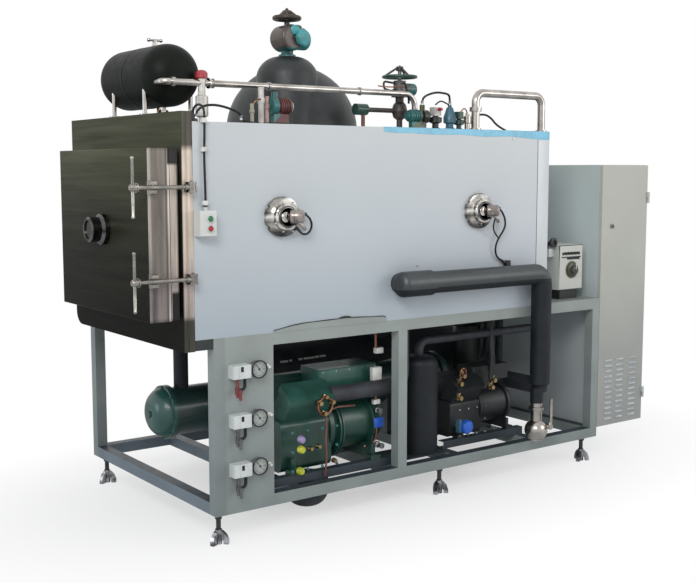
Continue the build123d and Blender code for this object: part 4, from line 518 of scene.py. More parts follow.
paint("solenoid_valves", ("dark_enamel", lambda x, y, z, n: x < 1310 and z < 1740),
      ("pale_enamel", lambda x, y, z, n: x < 1310 and z >= 1749),
      ("blue_enamel", lambda x, y, z, n: 1320 < x < 1388),
      ("green_enamel", lambda x, y, z, n: 1388 < x < 1440),
      ("pale_union", lambda x, y, z, n: x > 1446))

# %% Regions of the two pumps
paint("roof_pumps", ("beige_enamel", lambda x, y, z, n: x < 300),
      ("pale_enamel", lambda x, y, z, n: 300 <= x < 337),
      ("pink_enamel", lambda x, y, z, n: 337 <= x < 364.5),
      ("teal_enamel", lambda x, y, z, n: 364.5 <= x < 396),
      ("pale_enamel", lambda x, y, z, n: 455.5 < x < 480 or 364.5 <= x < 480 and z < 1693.5),
      ("teal_enamel", lambda x, y, z, n: 1000 < x < 1160),
      ("olive_enamel", lambda x, y, z, n: 1160 <= x < 1182),
      ("dark_enamel", lambda x, y, z, n: x >= 1182))

# %% [markdown]
# ## Helpers for small pieces
# Small parts are drawn with three tools, as a lathe, a plate and a bent tube would make them. Each
# works in millimetres about a spot on the machine.
# %% Lathe, slab and tube
def lathe(bm, profile, place, steps=28):
    """Turns a (radius, height) outline about Z of the place, closed at both ends."""
    rings = []
    for radius, height in profile:
        corners = [(radius * cos(2 * pi * i / steps), radius * sin(2 * pi * i / steps)) for i in range(steps)]
        rings.append([bm.verts.new(place @ Vector((x, y, height))) for x, y in corners])
    for low, high in zip(rings, rings[1:]):
        for i in range(steps):
            j = (i + 1) % steps
            bm.faces.new((low[i], low[j], high[j], high[i]))
    bm.faces.new(rings[0][::-1])
    bm.faces.new(rings[-1])


def slab(bm, x, y, z, round_off=0.0):
    """A block between drawing limits, with its edges rounded."""
    made = bmesh.ops.create_cube(bm, size=1.0)["verts"]
    for vert in made:
        vert.co = at(*[low + (high - low) * (share + 0.5) for (low, high), share in zip((x, y, z), vert.co)])
    if round_off:
        edges = list({edge for vert in made for edge in vert.link_edges})
        bmesh.ops.bevel(bm, geom=edges, offset=round_off / 1000, segments=2, profile=0.5, affect="EDGES")


def path_curve(name, points, radius, steps=8):
    """A round wire on a smooth line that leans towards its points."""
    curve = bpy.data.curves.new(name, "CURVE")
    curve.dimensions = "3D"
    curve.bevel_depth, curve.bevel_resolution, curve.resolution_u = radius / 1000, 4, steps
    curve.use_fill_caps = True
    spline = curve.splines.new("NURBS")
    spline.points.add(len(points) - 1)
    for point, place in zip(spline.points, points):
        point.co = (*at(*place), 1.0)
    spline.order_u = 3
    spline.use_endpoint_u = True
    return curve


def plain_mesh(holder):
    """The evaluated mesh of a helper object, which is then removed with its modifiers."""
    mesh = bpy.data.meshes.new_from_object(holder.evaluated_get(bpy.context.evaluated_depsgraph_get()))
    holder.modifiers.clear()
    bpy.data.objects.remove(holder)
    return mesh


def tube(bm, points, radius):
    """A bent tube through drawing places."""
    mesh = plain_mesh(show("route", path_curve("route", points, radius)))
    bm.from_mesh(mesh)
    bpy.data.meshes.remove(mesh)


print("lathe, slab and tube ready")

# %% [markdown]
# ## A piece and its body
# A finished piece rides on its body and keeps its edges sharp where two faces meet at more than 38
# degrees. A with block opens the mesh of a new piece, the lines in it draw the shapes, and the piece
# is finished when the block ends.
# %% The piece maker
def ride_on(thing, body):
    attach(thing, body)
    return thing


def piece(name, bm, surface, body="machine"):
    mesh = bpy.data.meshes.new(name)
    bmesh.ops.remove_doubles(bm, verts=bm.verts, dist=1e-6)
    bmesh.ops.recalc_face_normals(bm, faces=bm.faces)
    bm.to_mesh(mesh)
    bm.free()
    mesh.materials.append(FINISHES[surface])
    mesh.shade_smooth()
    mesh.set_sharp_from_angle(angle=SHARP)
    print(name, len(mesh.polygons), "faces")
    return ride_on(show(name, mesh), body)


@contextmanager
def new_piece(name, surface, slot, body="machine"):
    bm = bmesh.new()
    yield bm
    piece(name, bm, surface, body)


print("edges sharper than", round(SHARP, 3), "radians stay crisp")

# %% [markdown]
# ## Geometry Nodes for what repeats
# Bolts, screws and ticks repeat by a rule, so a node tree makes them. The first tree puts a
# many-sided stud on every point of a mesh, which suits screws and bolts at chosen places. The second
# spreads bars around a ring, which suits dial ticks and bolt rings. Both end in Realize Instances
# and Set Material, and the result is kept as a plain mesh.
# %% Small functions for the trees
def new_tree(name, inputs):
    tree = bpy.data.node_groups.new(name, "GeometryNodeTree")
    tree.interface.new_socket("Geometry", in_out="INPUT", socket_type="NodeSocketGeometry")
    for label, kind, value in inputs:
        socket = tree.interface.new_socket(label, in_out="INPUT", socket_type=kind)
        if value is not None:
            socket.default_value = value
    tree.interface.new_socket("Geometry", in_out="OUTPUT", socket_type="NodeSocketGeometry")
    return tree, tree.nodes.new("NodeGroupInput"), tree.nodes.new("NodeGroupOutput")


def maths(tree, operation, one, two):
    """A Math node on two sockets or plain numbers."""
    node = tree.nodes.new("ShaderNodeMath")
    node.operation = operation
    for socket, value in zip(node.inputs, (one, two)):
        if isinstance(value, float):
            socket.default_value = value
        else:
            tree.links.new(value, socket)
    return node.outputs[0]


def finish_tree(tree, given, result, geometry):
    real = tree.nodes.new("GeometryNodeRealizeInstances")
    dress = tree.nodes.new("GeometryNodeSetMaterial")
    tree.links.new(geometry, real.inputs["Geometry"])
    tree.links.new(real.outputs["Geometry"], dress.inputs["Geometry"])
    tree.links.new(given.outputs["Finish"], dress.inputs["Material"])
    tree.links.new(dress.outputs["Geometry"], result.inputs["Geometry"])
    print("tree", tree.name, "has", len(tree.nodes), "nodes")


# %% Studs on points
STUD_TAPER = 0.82         # a bolt head is a little narrower at its top


def stud_tree():
    tree, given, result = new_tree("studs_on_points", [
        ("Sides", "NodeSocketInt", 6), ("Radius", "NodeSocketFloat", 0.006),
        ("Height", "NodeSocketFloat", 0.005), ("Turn", "NodeSocketVector", None),
        ("Finish", "NodeSocketMaterial", None)])
    head = tree.nodes.new("GeometryNodeMeshCone")
    copies = tree.nodes.new("GeometryNodeInstanceOnPoints")
    top = maths(tree, "MULTIPLY", given.outputs["Radius"], STUD_TAPER)
    tree.links.new(given.outputs["Sides"], head.inputs["Vertices"])
    tree.links.new(given.outputs["Radius"], head.inputs["Radius Bottom"])
    tree.links.new(top, head.inputs["Radius Top"])
    tree.links.new(given.outputs["Height"], head.inputs["Depth"])
    tree.links.new(given.outputs["Geometry"], copies.inputs["Points"])
    tree.links.new(head.outputs["Mesh"], copies.inputs["Instance"])
    tree.links.new(given.outputs["Turn"], copies.inputs["Rotation"])
    finish_tree(tree, given, result, copies.outputs["Instances"])
    return tree


STUDS = stud_tree()


# %% Bars around a ring
def ring_tree():
    tree, given, result = new_tree("bars_around_a_ring", [
        ("Count", "NodeSocketInt", 12), ("Ring", "NodeSocketFloat", 0.03), ("Bar", "NodeSocketVector", None),
        ("Finish", "NodeSocketMaterial", None)])
    circle = tree.nodes.new("GeometryNodeMeshCircle")
    bar = tree.nodes.new("GeometryNodeMeshCube")
    index = tree.nodes.new("GeometryNodeInputIndex")
    turn = tree.nodes.new("ShaderNodeCombineXYZ")
    copies = tree.nodes.new("GeometryNodeInstanceOnPoints")
    step = maths(tree, "DIVIDE", 2 * pi, given.outputs["Count"])
    angle = maths(tree, "MULTIPLY", index.outputs[0], step)
    tree.links.new(given.outputs["Count"], circle.inputs["Vertices"])
    tree.links.new(given.outputs["Ring"], circle.inputs["Radius"])
    tree.links.new(given.outputs["Bar"], bar.inputs["Size"])
    tree.links.new(angle, turn.inputs["Z"])
    tree.links.new(circle.outputs["Mesh"], copies.inputs["Points"])
    tree.links.new(bar.outputs["Mesh"], copies.inputs["Instance"])
    tree.links.new(turn.outputs[0], copies.inputs["Rotation"])
    finish_tree(tree, given, result, copies.outputs["Instances"])
    return tree


RING = ring_tree()


# %% Turn a tree's result into a plain piece
def grown(tree, values, surface, points=((0, 0, 0),)):
    """The mesh that a tree makes on these points."""
    mesh = bpy.data.meshes.new("grown")
    mesh.from_pydata([tuple(p) for p in points], [], [])
    holder = show("grown", mesh)
    modifier = holder.modifiers.new("grow", "NODES")
    modifier.node_group = tree
    values = dict(values, Finish=FINISHES[surface])
    for socket in tree.interface.items_tree:
        if socket.in_out == "INPUT" and socket.name in values:
            modifier[socket.identifier] = values[socket.name]
    return plain_mesh(holder)


def grown_piece(name, meshes, surface, body="machine"):
    """Joins grown meshes, each with its place, into one piece."""
    bm = bmesh.new()
    for mesh, place in meshes:
        if place:
            mesh.transform(place)
        bm.from_mesh(mesh)
    whole = bpy.data.meshes.new(name)
    bm.to_mesh(whole)
    bm.free()
    whole.materials.append(FINISHES[surface])
    whole.polygons.foreach_set("material_index", [0] * len(whole.polygons))
    print(name, len(whole.polygons), "faces")
    return ride_on(show(name, whole), body)


def studs(name, places, turn, radius, height, surface, sides=6):
    """Bolt or screw heads at drawing places, with their sizes in millimetres."""
    values = {"Sides": sides, "Radius": radius / 1000, "Height": height / 1000, "Turn": Vector(turn)}
    mesh = grown(STUDS, values, surface, [at(*p) for p in places])
    return grown_piece(name, [(mesh, None)], surface)


def bar_ring(count, radius, bar, surface):
    """A ring of bars in millimetres about the origin."""
    return grown(RING, {"Count": count, "Ring": radius, "Bar": Vector(bar)}, surface)


print("trees", STUDS.name, "and", RING.name, "ready")

# %% [markdown]
# ## Floor, world and lamps
# The machine stands alone on a white studio floor. The world is white to the camera and to mirror
# rays, and a plain soft grey to everything else, so the steel shows a white room while the light
# stays level. The floor turns white with distance, so no horizon cuts the view, and it keeps the
# shadow under the feet.
# %% Build the world
SKY_LEVEL, SKY_TINT = 0.48, (0.97, 0.985, 1.0, 1)


def studio_world():
    world = bpy.data.worlds.new("studio")
    bpy.context.scene.world = world
    world.use_nodes = True
    tree = world.node_tree
    tree.nodes.clear()
    rays = tree.nodes.new("ShaderNodeLightPath")
    soft, white = tree.nodes.new("ShaderNodeBackground"), tree.nodes.new("ShaderNodeBackground")
    soft.inputs["Color"].default_value = SKY_TINT
    soft.inputs["Strength"].default_value = SKY_LEVEL
    white.inputs["Color"].default_value = (1, 1, 1, 1)
    mirror = maths(tree, "MAXIMUM", rays.outputs["Is Glossy Ray"], rays.outputs["Is Transmission Ray"])
    seen = maths(tree, "MAXIMUM", rays.outputs["Is Camera Ray"], mirror)
    mix, output = tree.nodes.new("ShaderNodeMixShader"), tree.nodes.new("ShaderNodeOutputWorld")
    tree.links.new(seen, mix.inputs[0])
    tree.links.new(soft.outputs[0], mix.inputs[1])
    tree.links.new(white.outputs[0], mix.inputs[2])
    tree.links.new(mix.outputs[0], output.inputs["Surface"])


bpy.context.scene.view_settings.view_transform = "Standard"
studio_world()
print("sky level", SKY_LEVEL)

# %% Build the floor
FLOOR_HALF = 30.0
OVAL_MIDDLE, OVAL_SCALE = (-0.9, -0.9, 0), (0.8, 1.5, 0)
FADE = {"From Min": 0.6, "From Max": 2.0, "To Min": 0.50, "To Max": 1.0}


def studio_floor(half):
    """A floor whose own light, to the camera, hides all but the shadow near the machine."""
    material = finish("studio_floor", (0.86, 0.86, 0.86), 0.75, 0, (0.6, 0.02), None)
    tree = material.node_tree
    rays, mix = tree.nodes.new("ShaderNodeLightPath"), tree.nodes.new("ShaderNodeMixShader")
    glow, place = tree.nodes.new("ShaderNodeEmission"), tree.nodes.new("ShaderNodeTexCoord")
    reach, fade = tree.nodes.new("ShaderNodeVectorMath"), tree.nodes.new("ShaderNodeMapRange")
    reach.operation = "LENGTH"
    oval = tree.nodes.new("ShaderNodeMapping")
    oval.inputs["Location"].default_value = OVAL_MIDDLE
    oval.inputs["Scale"].default_value = OVAL_SCALE
    for label, value in FADE.items():
        fade.inputs[label].default_value = value
    shader = next(node for node in tree.nodes if node.type == "BSDF_PRINCIPLED")
    output = next(node for node in tree.nodes if node.type == "OUTPUT_MATERIAL")
    tree.links.new(place.outputs["Object"], oval.inputs["Vector"])
    tree.links.new(oval.outputs["Vector"], reach.inputs[0])
    tree.links.new(reach.outputs["Value"], fade.inputs["Value"])
    share = maths(tree, "MULTIPLY", fade.outputs["Result"], rays.outputs["Is Camera Ray"])
    tree.links.new(share, mix.inputs[0])
    tree.links.new(shader.outputs[0], mix.inputs[1])
    tree.links.new(glow.outputs[0], mix.inputs[2])
    tree.links.new(mix.outputs[0], output.inputs["Surface"])
    mesh = bpy.data.meshes.new("studio_floor")
    corners = [(-half, -half, 0), (half, -half, 0), (half, half, 0), (-half, half, 0)]
    mesh.from_pydata(corners, [], [(0, 1, 2, 3)])
    mesh.materials.append(material)
    floor = show("studio_floor", mesh)


studio_floor(FLOOR_HALF)
print("floor", 2 * FLOOR_HALF, "m wide")

# %% [markdown]
# ## Three soft lamps
# A broad key from the upper left models the round parts, a weaker fill from the right opens the
# bays, and a cool low lamp stands for a window on the door side. Area lamps give the soft edges that
# a workshop's large windows give.
# %% Place the lamps
LAMPS = (("key", (-3.2, -3.6, 4.2), (1.0, 0.4, 1.0), (3.0, 2.0), 175, (1, 1, 1)),
         ("fill", (4.5, -4.5, 2.6), (1.2, 0.3, 0.9), (3.0, 2.0), 60, (1, 1, 1)),
         ("window", (-5.5, 2.2, 1.6), (0.8, 0.6, 0.8), (2.0, 2.0), 45, (0.72, 0.88, 1.0)))


def area_lamp(name, place, target, size, power, colour):
    """A rectangular lamp at a place in metres, turned towards its target."""
    data = bpy.data.lights.new(name, "AREA")
    data.color, data.shape, data.energy = colour, "RECTANGLE", power
    data.size, data.size_y = size
    lamp = show(name, data)
    lamp.location = place
    lamp.rotation_euler = (Vector(target) - Vector(place)).to_track_quat("-Z", "Y").to_euler()
    print("lamp", name, power, "W")


for lamp in LAMPS:
    area_lamp(*lamp)

# %% [markdown]
# ## Ends for the free cords
# Three black rubber cables and two hoses hang free between fixed ends. A moulded, tapered relief
# guards each cable where it enters its gland, so that it can't kink there, and a crimped sleeve ends
# each hose. Both are turned shapes, so the lathe makes them along the cord's first stretch.
# %% Gland places, reliefs and sleeves
PORT_Z = 1313.0
LEFT_PORT_X, RIGHT_PORT_X = 318.0, 1399.0
GLAND_OUT = 31.0          # the glands' axes lie this far in front of the casing
END_STEPS = 20


def gland_tip(port_x, degrees, reach):
    """A place on a gland's axis; glands point outwards from the middle of a sight port."""
    return port_x + reach * cos(radians(degrees)), -GLAND_OUT, PORT_Z + reach * sin(radians(degrees))


def along(place, direction):
    """A matrix in millimetres with its Z along a direction."""
    turn = Vector(direction).to_track_quat("Z", "X").to_matrix().to_4x4()
    return Matrix.Translation(at(*place)) @ turn @ Matrix.Scale(0.001, 4)


def relief(name, place, towards, radius, slot):
    """A tapered collar with four grooves, 24 mm long."""
    bm = bmesh.new()
    profile = [(radius + 3.4, -2.0), (radius + 3.4, 2.0)]
    for i in range(4):
        thick, start = radius + 2.6 - 0.5 * i, 5 * i
        profile += [(thick, 3.0 + start), (thick - 0.2, 6.0 + start), (thick - 1.0, 6.4 + start),
                    (thick - 1.0, 7.4 + start)]
    profile += [(radius + 0.4, 24.0)]
    lathe(bm, profile, along(place, Vector(towards) - Vector(place)), END_STEPS)
    return piece(name, bm, "black_plastic")


def ferrule(name, place, towards, radius, slot):
    """A rolled metal sleeve over a hose end."""
    bm = bmesh.new()
    profile = [(radius + 0.6, -1), (radius + 1.8, 0), (radius + 1.8, 5), (radius + 1.1, 6), (radius + 1.1, 9),
               (radius + 1.8, 10), (radius + 1.8, 17), (radius + 0.4, 18)]
    lathe(bm, profile, along(place, Vector(towards) - Vector(place)), END_STEPS)
    return piece(name, bm, "plated")


print("left port's upper gland tip", [round(v) for v in gland_tip(LEFT_PORT_X, 6, 80)])

# %% [markdown]
# ## The lamp cables
# Each cord is a real length of rubber on one smooth line, which leans towards its points as a stiff
# cable does. The left lamp's cable makes a tight loop between its two glands. The right one leaves
# its gland level, sags in a long bow and ends at a gland low on the casing. The route is a list of
# given places, because a hanging cable follows no simple rule between fixed ends.
# %% Draw the lamp cables
CABLE_R, HOSE_R = 4.5, 5.0
UPPER_GLAND, LOWER_GLAND = 6, -40     # degrees from level


def free_cord(node, points, radius, length, end_piece):
    name, slot = node + "_run", slot_of[node]
    curve = path_curve(name, points, radius, steps=12)
    curve.materials.append(FINISHES[slot])
    cord = show(name, curve)
    ends = [end_piece(node + "_start", points[0], points[1], radius, slot),
            end_piece(node + "_end", points[-1], points[-2], radius, slot)]
    ride_on(cord, "machine")
    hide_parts(node)
    print(node, length, "m")


free_cord("left_lamp_cable",
          [gland_tip(LEFT_PORT_X, UPPER_GLAND, 80), gland_tip(LEFT_PORT_X, UPPER_GLAND, 95), (436, -33, 1307),
           (448, -33, 1282), (444, -31, 1257), (426, -31, 1240), (402, -31, 1240),
           gland_tip(LEFT_PORT_X, LOWER_GLAND, 89), gland_tip(LEFT_PORT_X, LOWER_GLAND, 74)],
          CABLE_R, 0.177, relief)
free_cord("right_lamp_cable",
          [gland_tip(RIGHT_PORT_X, UPPER_GLAND, 92), gland_tip(RIGHT_PORT_X, UPPER_GLAND, 109),
           (1531, -33, 1302), (1548, -32, 1270), (1552, -30, 1240), (1538, -27, 1212), (1517, -24, 1185),
           (1503, -20, 1156), (1501, -17, 1126), (1511, -14, 1101), (1529, -13, 1085),
           (1552.3, -12, 1074.3), (1566, -12, 1066)],
          CABLE_R, 0.332, relief)

# %% [markdown]
# ## The button cable and the two hoses
# The button box's cable is clipped upright to the panel, turns over the top edge and goes down into
# a gland on the roof. The hoses on the roof arch from one nipple to the next. They are stiffer, so
# they stand up in one bow instead of sagging.
# %% Draw the button cable and the hoses
free_cord("button_cable",
          [(-33, -12, 1359), (-33, -12, 1419), (-37, -12, 1549), (-33, -12, 1655), (-33, -12, 1751),
           (-33, 80, 1751), (-33, 80, 1707)],
          CABLE_R, 0.493, relief)
free_cord("relief_hose",
          [(19, 150, 1703), (19, 150, 1727), (37, 150, 1746), (65, 150, 1757), (103, 150, 1760),
           (141, 150, 1755), (178, 150, 1746), (210, 150, 1735), (226, 150, 1721), (226, 150, 1703)],
          HOSE_R, 0.263, ferrule)
free_cord("pump_hose",
          [(1187.5, 150, 1797), (1187.5, 150, 1817), (1199.5, 150, 1835), (1233.5, 150, 1849),
           (1275.5, 150, 1858), (1317.5, 150, 1856), (1351, 150, 1851), (1356, 150, 1826), (1356, 150, 1802)],
          HOSE_R, 0.241, ferrule)

# %% [markdown]
# ## Transit film on the casing
# A strip of blue film, such as protects sheet steel on its way, lies along the top edge of the
# casing. Its lower edge wanders, so the strip is built station by station, and its edge is a line
# between given knots with a slow wave on it.
# %% A wavy strip, and the film made of two of them
def strip(bm, stations, front, back, low_edge, high_edge):
    """A thin wavy sheet: at each station the sheet spans low_edge to high_edge, between two depths."""
    rows = []
    for x in stations:
        rows.append([bm.verts.new(at(x, y, z)) for y, z in ((front, low_edge(x)), (front, high_edge(x)),
                                                            (back, high_edge(x)), (back, low_edge(x)))])
    for one, two in zip(rows, rows[1:]):
        for i in range(4):
            j = (i + 1) % 4
            bm.faces.new((one[i], one[j], two[j], two[i]))
    bm.faces.new(rows[0])
    bm.faces.new(rows[-1][::-1])


def between(x, knots):
    """Straight-line height between (x, height) knots."""
    for (x0, h0), (x1, h1) in zip(knots, knots[1:]):
        if x <= x1:
            return h0 + (h1 - h0) * (x - x0) / (x1 - x0)
    return knots[-1][1]


def stations(low, high, step):
    count = int((high - low) / step)
    return [low + (high - low) * i / count for i in range(count + 1)]


FILM_LEFT, FILM_RIGHT, FILM_OUT = 847, 1868, -1.4
FILM_EDGE = [(FILM_LEFT, 1664), (900, 1660), (1000, 1663), (1150, 1657), (1300, 1660), (1450, 1655),
             (1600, 1657), (1750, 1650), (FILM_RIGHT, 1646)]
with new_piece("transit_film", "blue_film", "white_panel") as bm:
    strip(bm, stations(FILM_LEFT, FILM_RIGHT, 11), FILM_OUT, -0.3,
          lambda x: between(x, FILM_EDGE) + 1.2 * sin(x / 60), lambda x: 1685.6)
    strip(bm, stations(FILM_LEFT, FILM_RIGHT, 17), FILM_OUT, 24.0,
          lambda x: 1685.3, lambda x: 1686.2 + 0.5 * sin(x / 23))

# %% [markdown]
# ## The lower edge of the casing
# A bent filler closes the gap between the casing and the base frame. Over its wavy upper edge a dark
# line shows, which is thicker for a short stretch. Both are strips along the same knots, so
# that the line sits exactly on the filler's edge.
# %% Filler and its dark line
FILLER_EDGE = [(276, 849), (359, 862), (433, 869), (561, 871), (639, 873), (857, 864), (870, 843)]
THICK_LEFT, THICK_RIGHT = 610, 671
with new_piece("lower_filler", "frame_paint", "frame_paint") as bm:
    strip(bm, stations(276, 870, 18), -2.2, -0.2, lambda x: 842.2, lambda x: between(x, FILLER_EDGE))
with new_piece("filler_dark_line", "film_dark", "black_foam") as bm:
    strip(bm, stations(280, 860, 18), -2.8, -0.2, lambda x: between(x, FILLER_EDGE) - 1.0,
          lambda x: between(x, FILLER_EDGE) + 2.2 + 1.5 * sin(x / 50) ** 2)
    strip(bm, stations(THICK_LEFT, THICK_RIGHT, 6), -3.4, -0.2, lambda x: 872.5,
          lambda x: 878.0 + 4.5 * sin((x - THICK_LEFT) / (THICK_RIGHT - THICK_LEFT) * pi))

# %% [markdown]
# ## Joint strip, screws and clips
# The last joint on the right of the casing is a separate lighter strip with a fine groove beside it.
# Two screws hold the panel, and three plastic clips hold the button cable. Plates with rounded edges
# suit all of them, and the screws come from the stud tree.
# %% Strip, groove, screws and clips
STRIP_LEFT, STRIP_RIGHT, STRIP_FOOT, STRIP_HEAD = 1793, 1869, 843, 1646
with new_piece("joint_strip", "edge_white", "white_panel") as bm:
    slab(bm, (STRIP_LEFT, STRIP_RIGHT), (-1.0, -0.1), (STRIP_FOOT, STRIP_HEAD), 0.4)
with new_piece("joint_groove", "film_dark", "seal_rubber") as bm:
    slab(bm, (1790.2, 1792.6), (-0.7, -0.1), (STRIP_FOOT, STRIP_HEAD))
studs("panel_screws", [(1038, -1.2, 1075), (1623, -1.2, 1646)], OUT_FRONT, 4.2, 2.6,
      "plated", 16)
with new_piece("cable_clips", "white_plastic", "box_plastic") as bm:
    for z, x in ((1580, -37), (1375, -33), (1690, -34)):
        slab(bm, (x - 13, x + 9), (-20, -2), (z - 9, z + 9), 2.0)

# %% [markdown]
# ## Pressure gauges
# Each dial on the panel is a pressed scale under a glass, with a black bezel. The ticks repeat
# evenly over the whole ring here, so a ring of small bars from the node tree stands for them, and
# plain figures stand beside the long ticks, on an arc of 270 degrees.
# %% Scales with their figures
DIAL_FACE_Y = -28.1
FINE_TICKS, LONG_TICKS = (40, 25.5, (2.6, 0.5, 0.4)), (8, 24.6, (4.6, 0.9, 0.5))
FIGURES, FIGURE_STEP, FIGURE_RING, FIGURE_SIZE = 7, 4, 18.5, 5.6


def text_mesh(text, size):
    curve = bpy.data.curves.new("figure", "FONT")
    curve.body, curve.size, curve.extrude = text, size, 0.15
    curve.align_x, curve.align_y = "CENTER", "CENTER"
    return plain_mesh(show("figure", curve))


scale_marks, figures = [], bmesh.new()
for level in GAUGE_LEVELS:
    front = spot(GAUGE_X, DIAL_FACE_Y, level, OUT_FRONT)
    scale_marks += [(bar_ring(*ticks, "black_plastic"), front) for ticks in (FINE_TICKS, LONG_TICKS)]
    for i in range(FIGURES):
        turn = radians(225 - 45 * i)
        figure = text_mesh(str(i * FIGURE_STEP), FIGURE_SIZE)
        figure.transform(front @ Matrix.Translation((FIGURE_RING * cos(turn), FIGURE_RING * sin(turn), 0)))
        figures.from_mesh(figure)
grown_piece("gauge_ticks", scale_marks, "black_plastic")
piece("gauge_figures", figures, "black_plastic")

# %% White plugs on the gauge panel
with new_piece("panel_nubs", "white_plastic", "box_plastic") as bm:
    for x, z in ((248, 706), (255, 507), (253, 298)):
        lathe(bm, [(9, 0), (9, 4), (6.5, 5), (6.5, 17), (5.0, 20)], spot(x, 0, z, OUT_FRONT), 16)

# %% [markdown]
# ## Sight port hardware
# A sight glass sits in a welded boss under a bolted ring, and a small lamp screws onto its rim. The
# ring is polished, and its bright and dark bands are a painted reflection. Its bolts are small
# hexagons. A small bright dome in each glass is a painted highlight. Both ports are the same, so
# each piece loops over the two of them.
# %% Port bolts and inner rings
PORTS = (LEFT_PORT_X, RIGHT_PORT_X)
BOLTS_PER_PORT, BOLT_RING = 8, 62
port_bolts = []
for port_x in PORTS:
    turns = [pi * (2 * i + 1) / BOLTS_PER_PORT for i in range(BOLTS_PER_PORT)]
    port_bolts += [(port_x + BOLT_RING * cos(turn), -51.5, PORT_Z + BOLT_RING * sin(turn)) for turn in turns]
studs("port_bolts", port_bolts, OUT_FRONT, 4.6, 5, "plated")
with new_piece("port_inner_rings", "chrome_dark", "port_steel") as bm:
    for port_x in PORTS:
        lathe(bm, [(45, 0), (45, 4), (41, 7), (37, 7), (35, 3), (35, 0)],
              spot(port_x, -49, PORT_Z, OUT_FRONT), 40)

# %% Lamps, glass highlights and the second lead
with new_piece("port_lamps", "lamp_steel", "port_steel") as bm:
    for port_x in PORTS:
        lathe(bm, [(27, 0), (29, 3), (29, 16), (26, 18), (26, 50), (22, 56), (15, 58)],
              along((port_x + 14, -48, PORT_Z + 1), (0.80, -0.60, 0.02)), 32)
        tube(bm, [(port_x + 34, -66, 1298), (port_x + 48, -74, 1284), (port_x + 62, -72, 1272),
                  (port_x + 74, -64, 1264)], 8)
with new_piece("port_glass_highlights", "chrome_bright", "port_glass") as bm:
    for port_x in PORTS:
        lathe(bm, [(24, 0), (23, 4), (18, 8), (9, 10)], spot(port_x - 8, -46.5, PORT_Z, OUT_FRONT), 32)
with new_piece("port_lead", "cable_black", "cable_black") as bm:
    tube(bm, [(1447, -74, 1284), (1447, -62, 1262), (1458, -46, 1230), (1486, -32, 1204),
              (1514, -24, 1184)], 3.6)

# %% [markdown]
# ## The compressor in the left bay
# The big compressor fills the left bay. A semi-hermetic compressor is a casting with a bolted
# crankcase cover, a terminal box with a screwed lid and a motor end with a few cast ribs. Bolts round
# a flat cover sit in rows and columns along its border, so one function places them.
# %% Cover bolts, terminal lid and motor ribs
COMPRESSOR_Y = 235.0


def flat_bolts(name, x, z, columns, rows, y, surface, radius):
    """Bolts along the border of a flat cover, in evenly spaced columns and rows."""
    places = [(x[0] + (x[1] - x[0]) * i / (columns - 1), y, z[0] + (z[1] - z[0]) * j / (rows - 1))
              for i in range(columns) for j in range(rows) if i in (0, columns - 1) or j in (0, rows - 1)]
    studs(name, places, OUT_FRONT, radius, 6, surface)


flat_bolts("crankcase_bolts", (402, 632), (228, 396), 4, 3, 52.5, "teal_enamel", 7.5)
flat_bolts("terminal_lid_screws", (630, 918), (540, 614), 5, 2, 156.5, "plated", 4.5)
with new_piece("terminal_lid", "machine_paint", "machine_paint") as bm:
    slab(bm, (622, 928), (151, 157.5), (533, 622), 2.5)
with new_piece("motor_ribs", "machine_paint", "machine_paint") as bm:
    for x in (690, 706, 872):
        lathe(bm, [(139, -5), (142, -4), (142, 4), (139, 5)], spot(x, COMPRESSOR_Y, 352, OUT_RIGHT), 48)

# %% [markdown]
# ## Oil loop and oil line
# A copper loop stands in front of the heads, and from its foot a thin rust-coloured line runs down
# to the sump and across to the motor. Both are bent tubes. The small brass valves beside them are
# turned, with a waist between body and cap.
# %% Oil tubes and valves
OIL_X, OIL_Z = 568, 490
with new_piece("oil_loop", "copper", "small_valve_metal") as bm:
    loop = [(OIL_X + 38 * cos(pi * i / 6), 46, OIL_Z + 40 * sin(pi * i / 6)) for i in range(12)]
    tube(bm, loop + loop[:1], 5.0)
with new_piece("oil_line", "rust_enamel", "small_valve_metal") as bm:
    tube(bm, [(571, 44, 452), (573, 42, 400), (566, 42, 340), (574, 44, 270), (571, 48, 215),
              (571, 56, 178)], 4.5)
    tube(bm, [(571, 44, 452), (600, 50, 470), (640, 60, 476), (700, 70, 470), (760, 92, 462)], 4.0)
with new_piece("oil_valves", "brass", "small_valve_metal") as bm:
    for x, z, big in ((536, 508, 11), (566, 533, 9), (602, 506, 10), (560, 462, 10)):
        lathe(bm, [(big, 0), (big, 9), (big * 0.6, 10), (big * 0.6, 22), (big * 0.9, 23), (big * 0.9, 30)],
              spot(x, 58, z, OUT_FRONT), 12)

# %% [markdown]
# ## Caps and plugs
# Bright plastic caps close the service ports until they are used, and brass plugs close the
# threaded holes of the crankcase. One turned outline serves all of them, made larger or smaller, and
# the tag of a valve coil on the roof has the same form.
# %% Coloured caps and brass plugs
def caps(name, places, radius, surface, slot):
    outline = [(radius, 0), (radius, 9), (radius * 0.86, 13), (radius * 0.86, 20), (radius * 0.7, 23)]
    with new_piece(name, surface, slot) as bm:
        for x, y, z in places:
            lathe(bm, outline, spot(x, y, z, OUT_FRONT), 14)


caps("violet_cap", [(440, 50, 364)], 17, "violet_cap", "box_plastic")
caps("yellow_caps", [(440, 50, 320), (442, 60, 224)], 17, "yellow_cap", "box_plastic")
caps("coil_tag", [(1262, 119, 1778)], 8, "red_enamel", "coil_plastic")
caps("suction_plugs", [(486, 50, 318), (528, 50, 322), (612, 50, 246)], 11, "brass", "small_valve_metal")

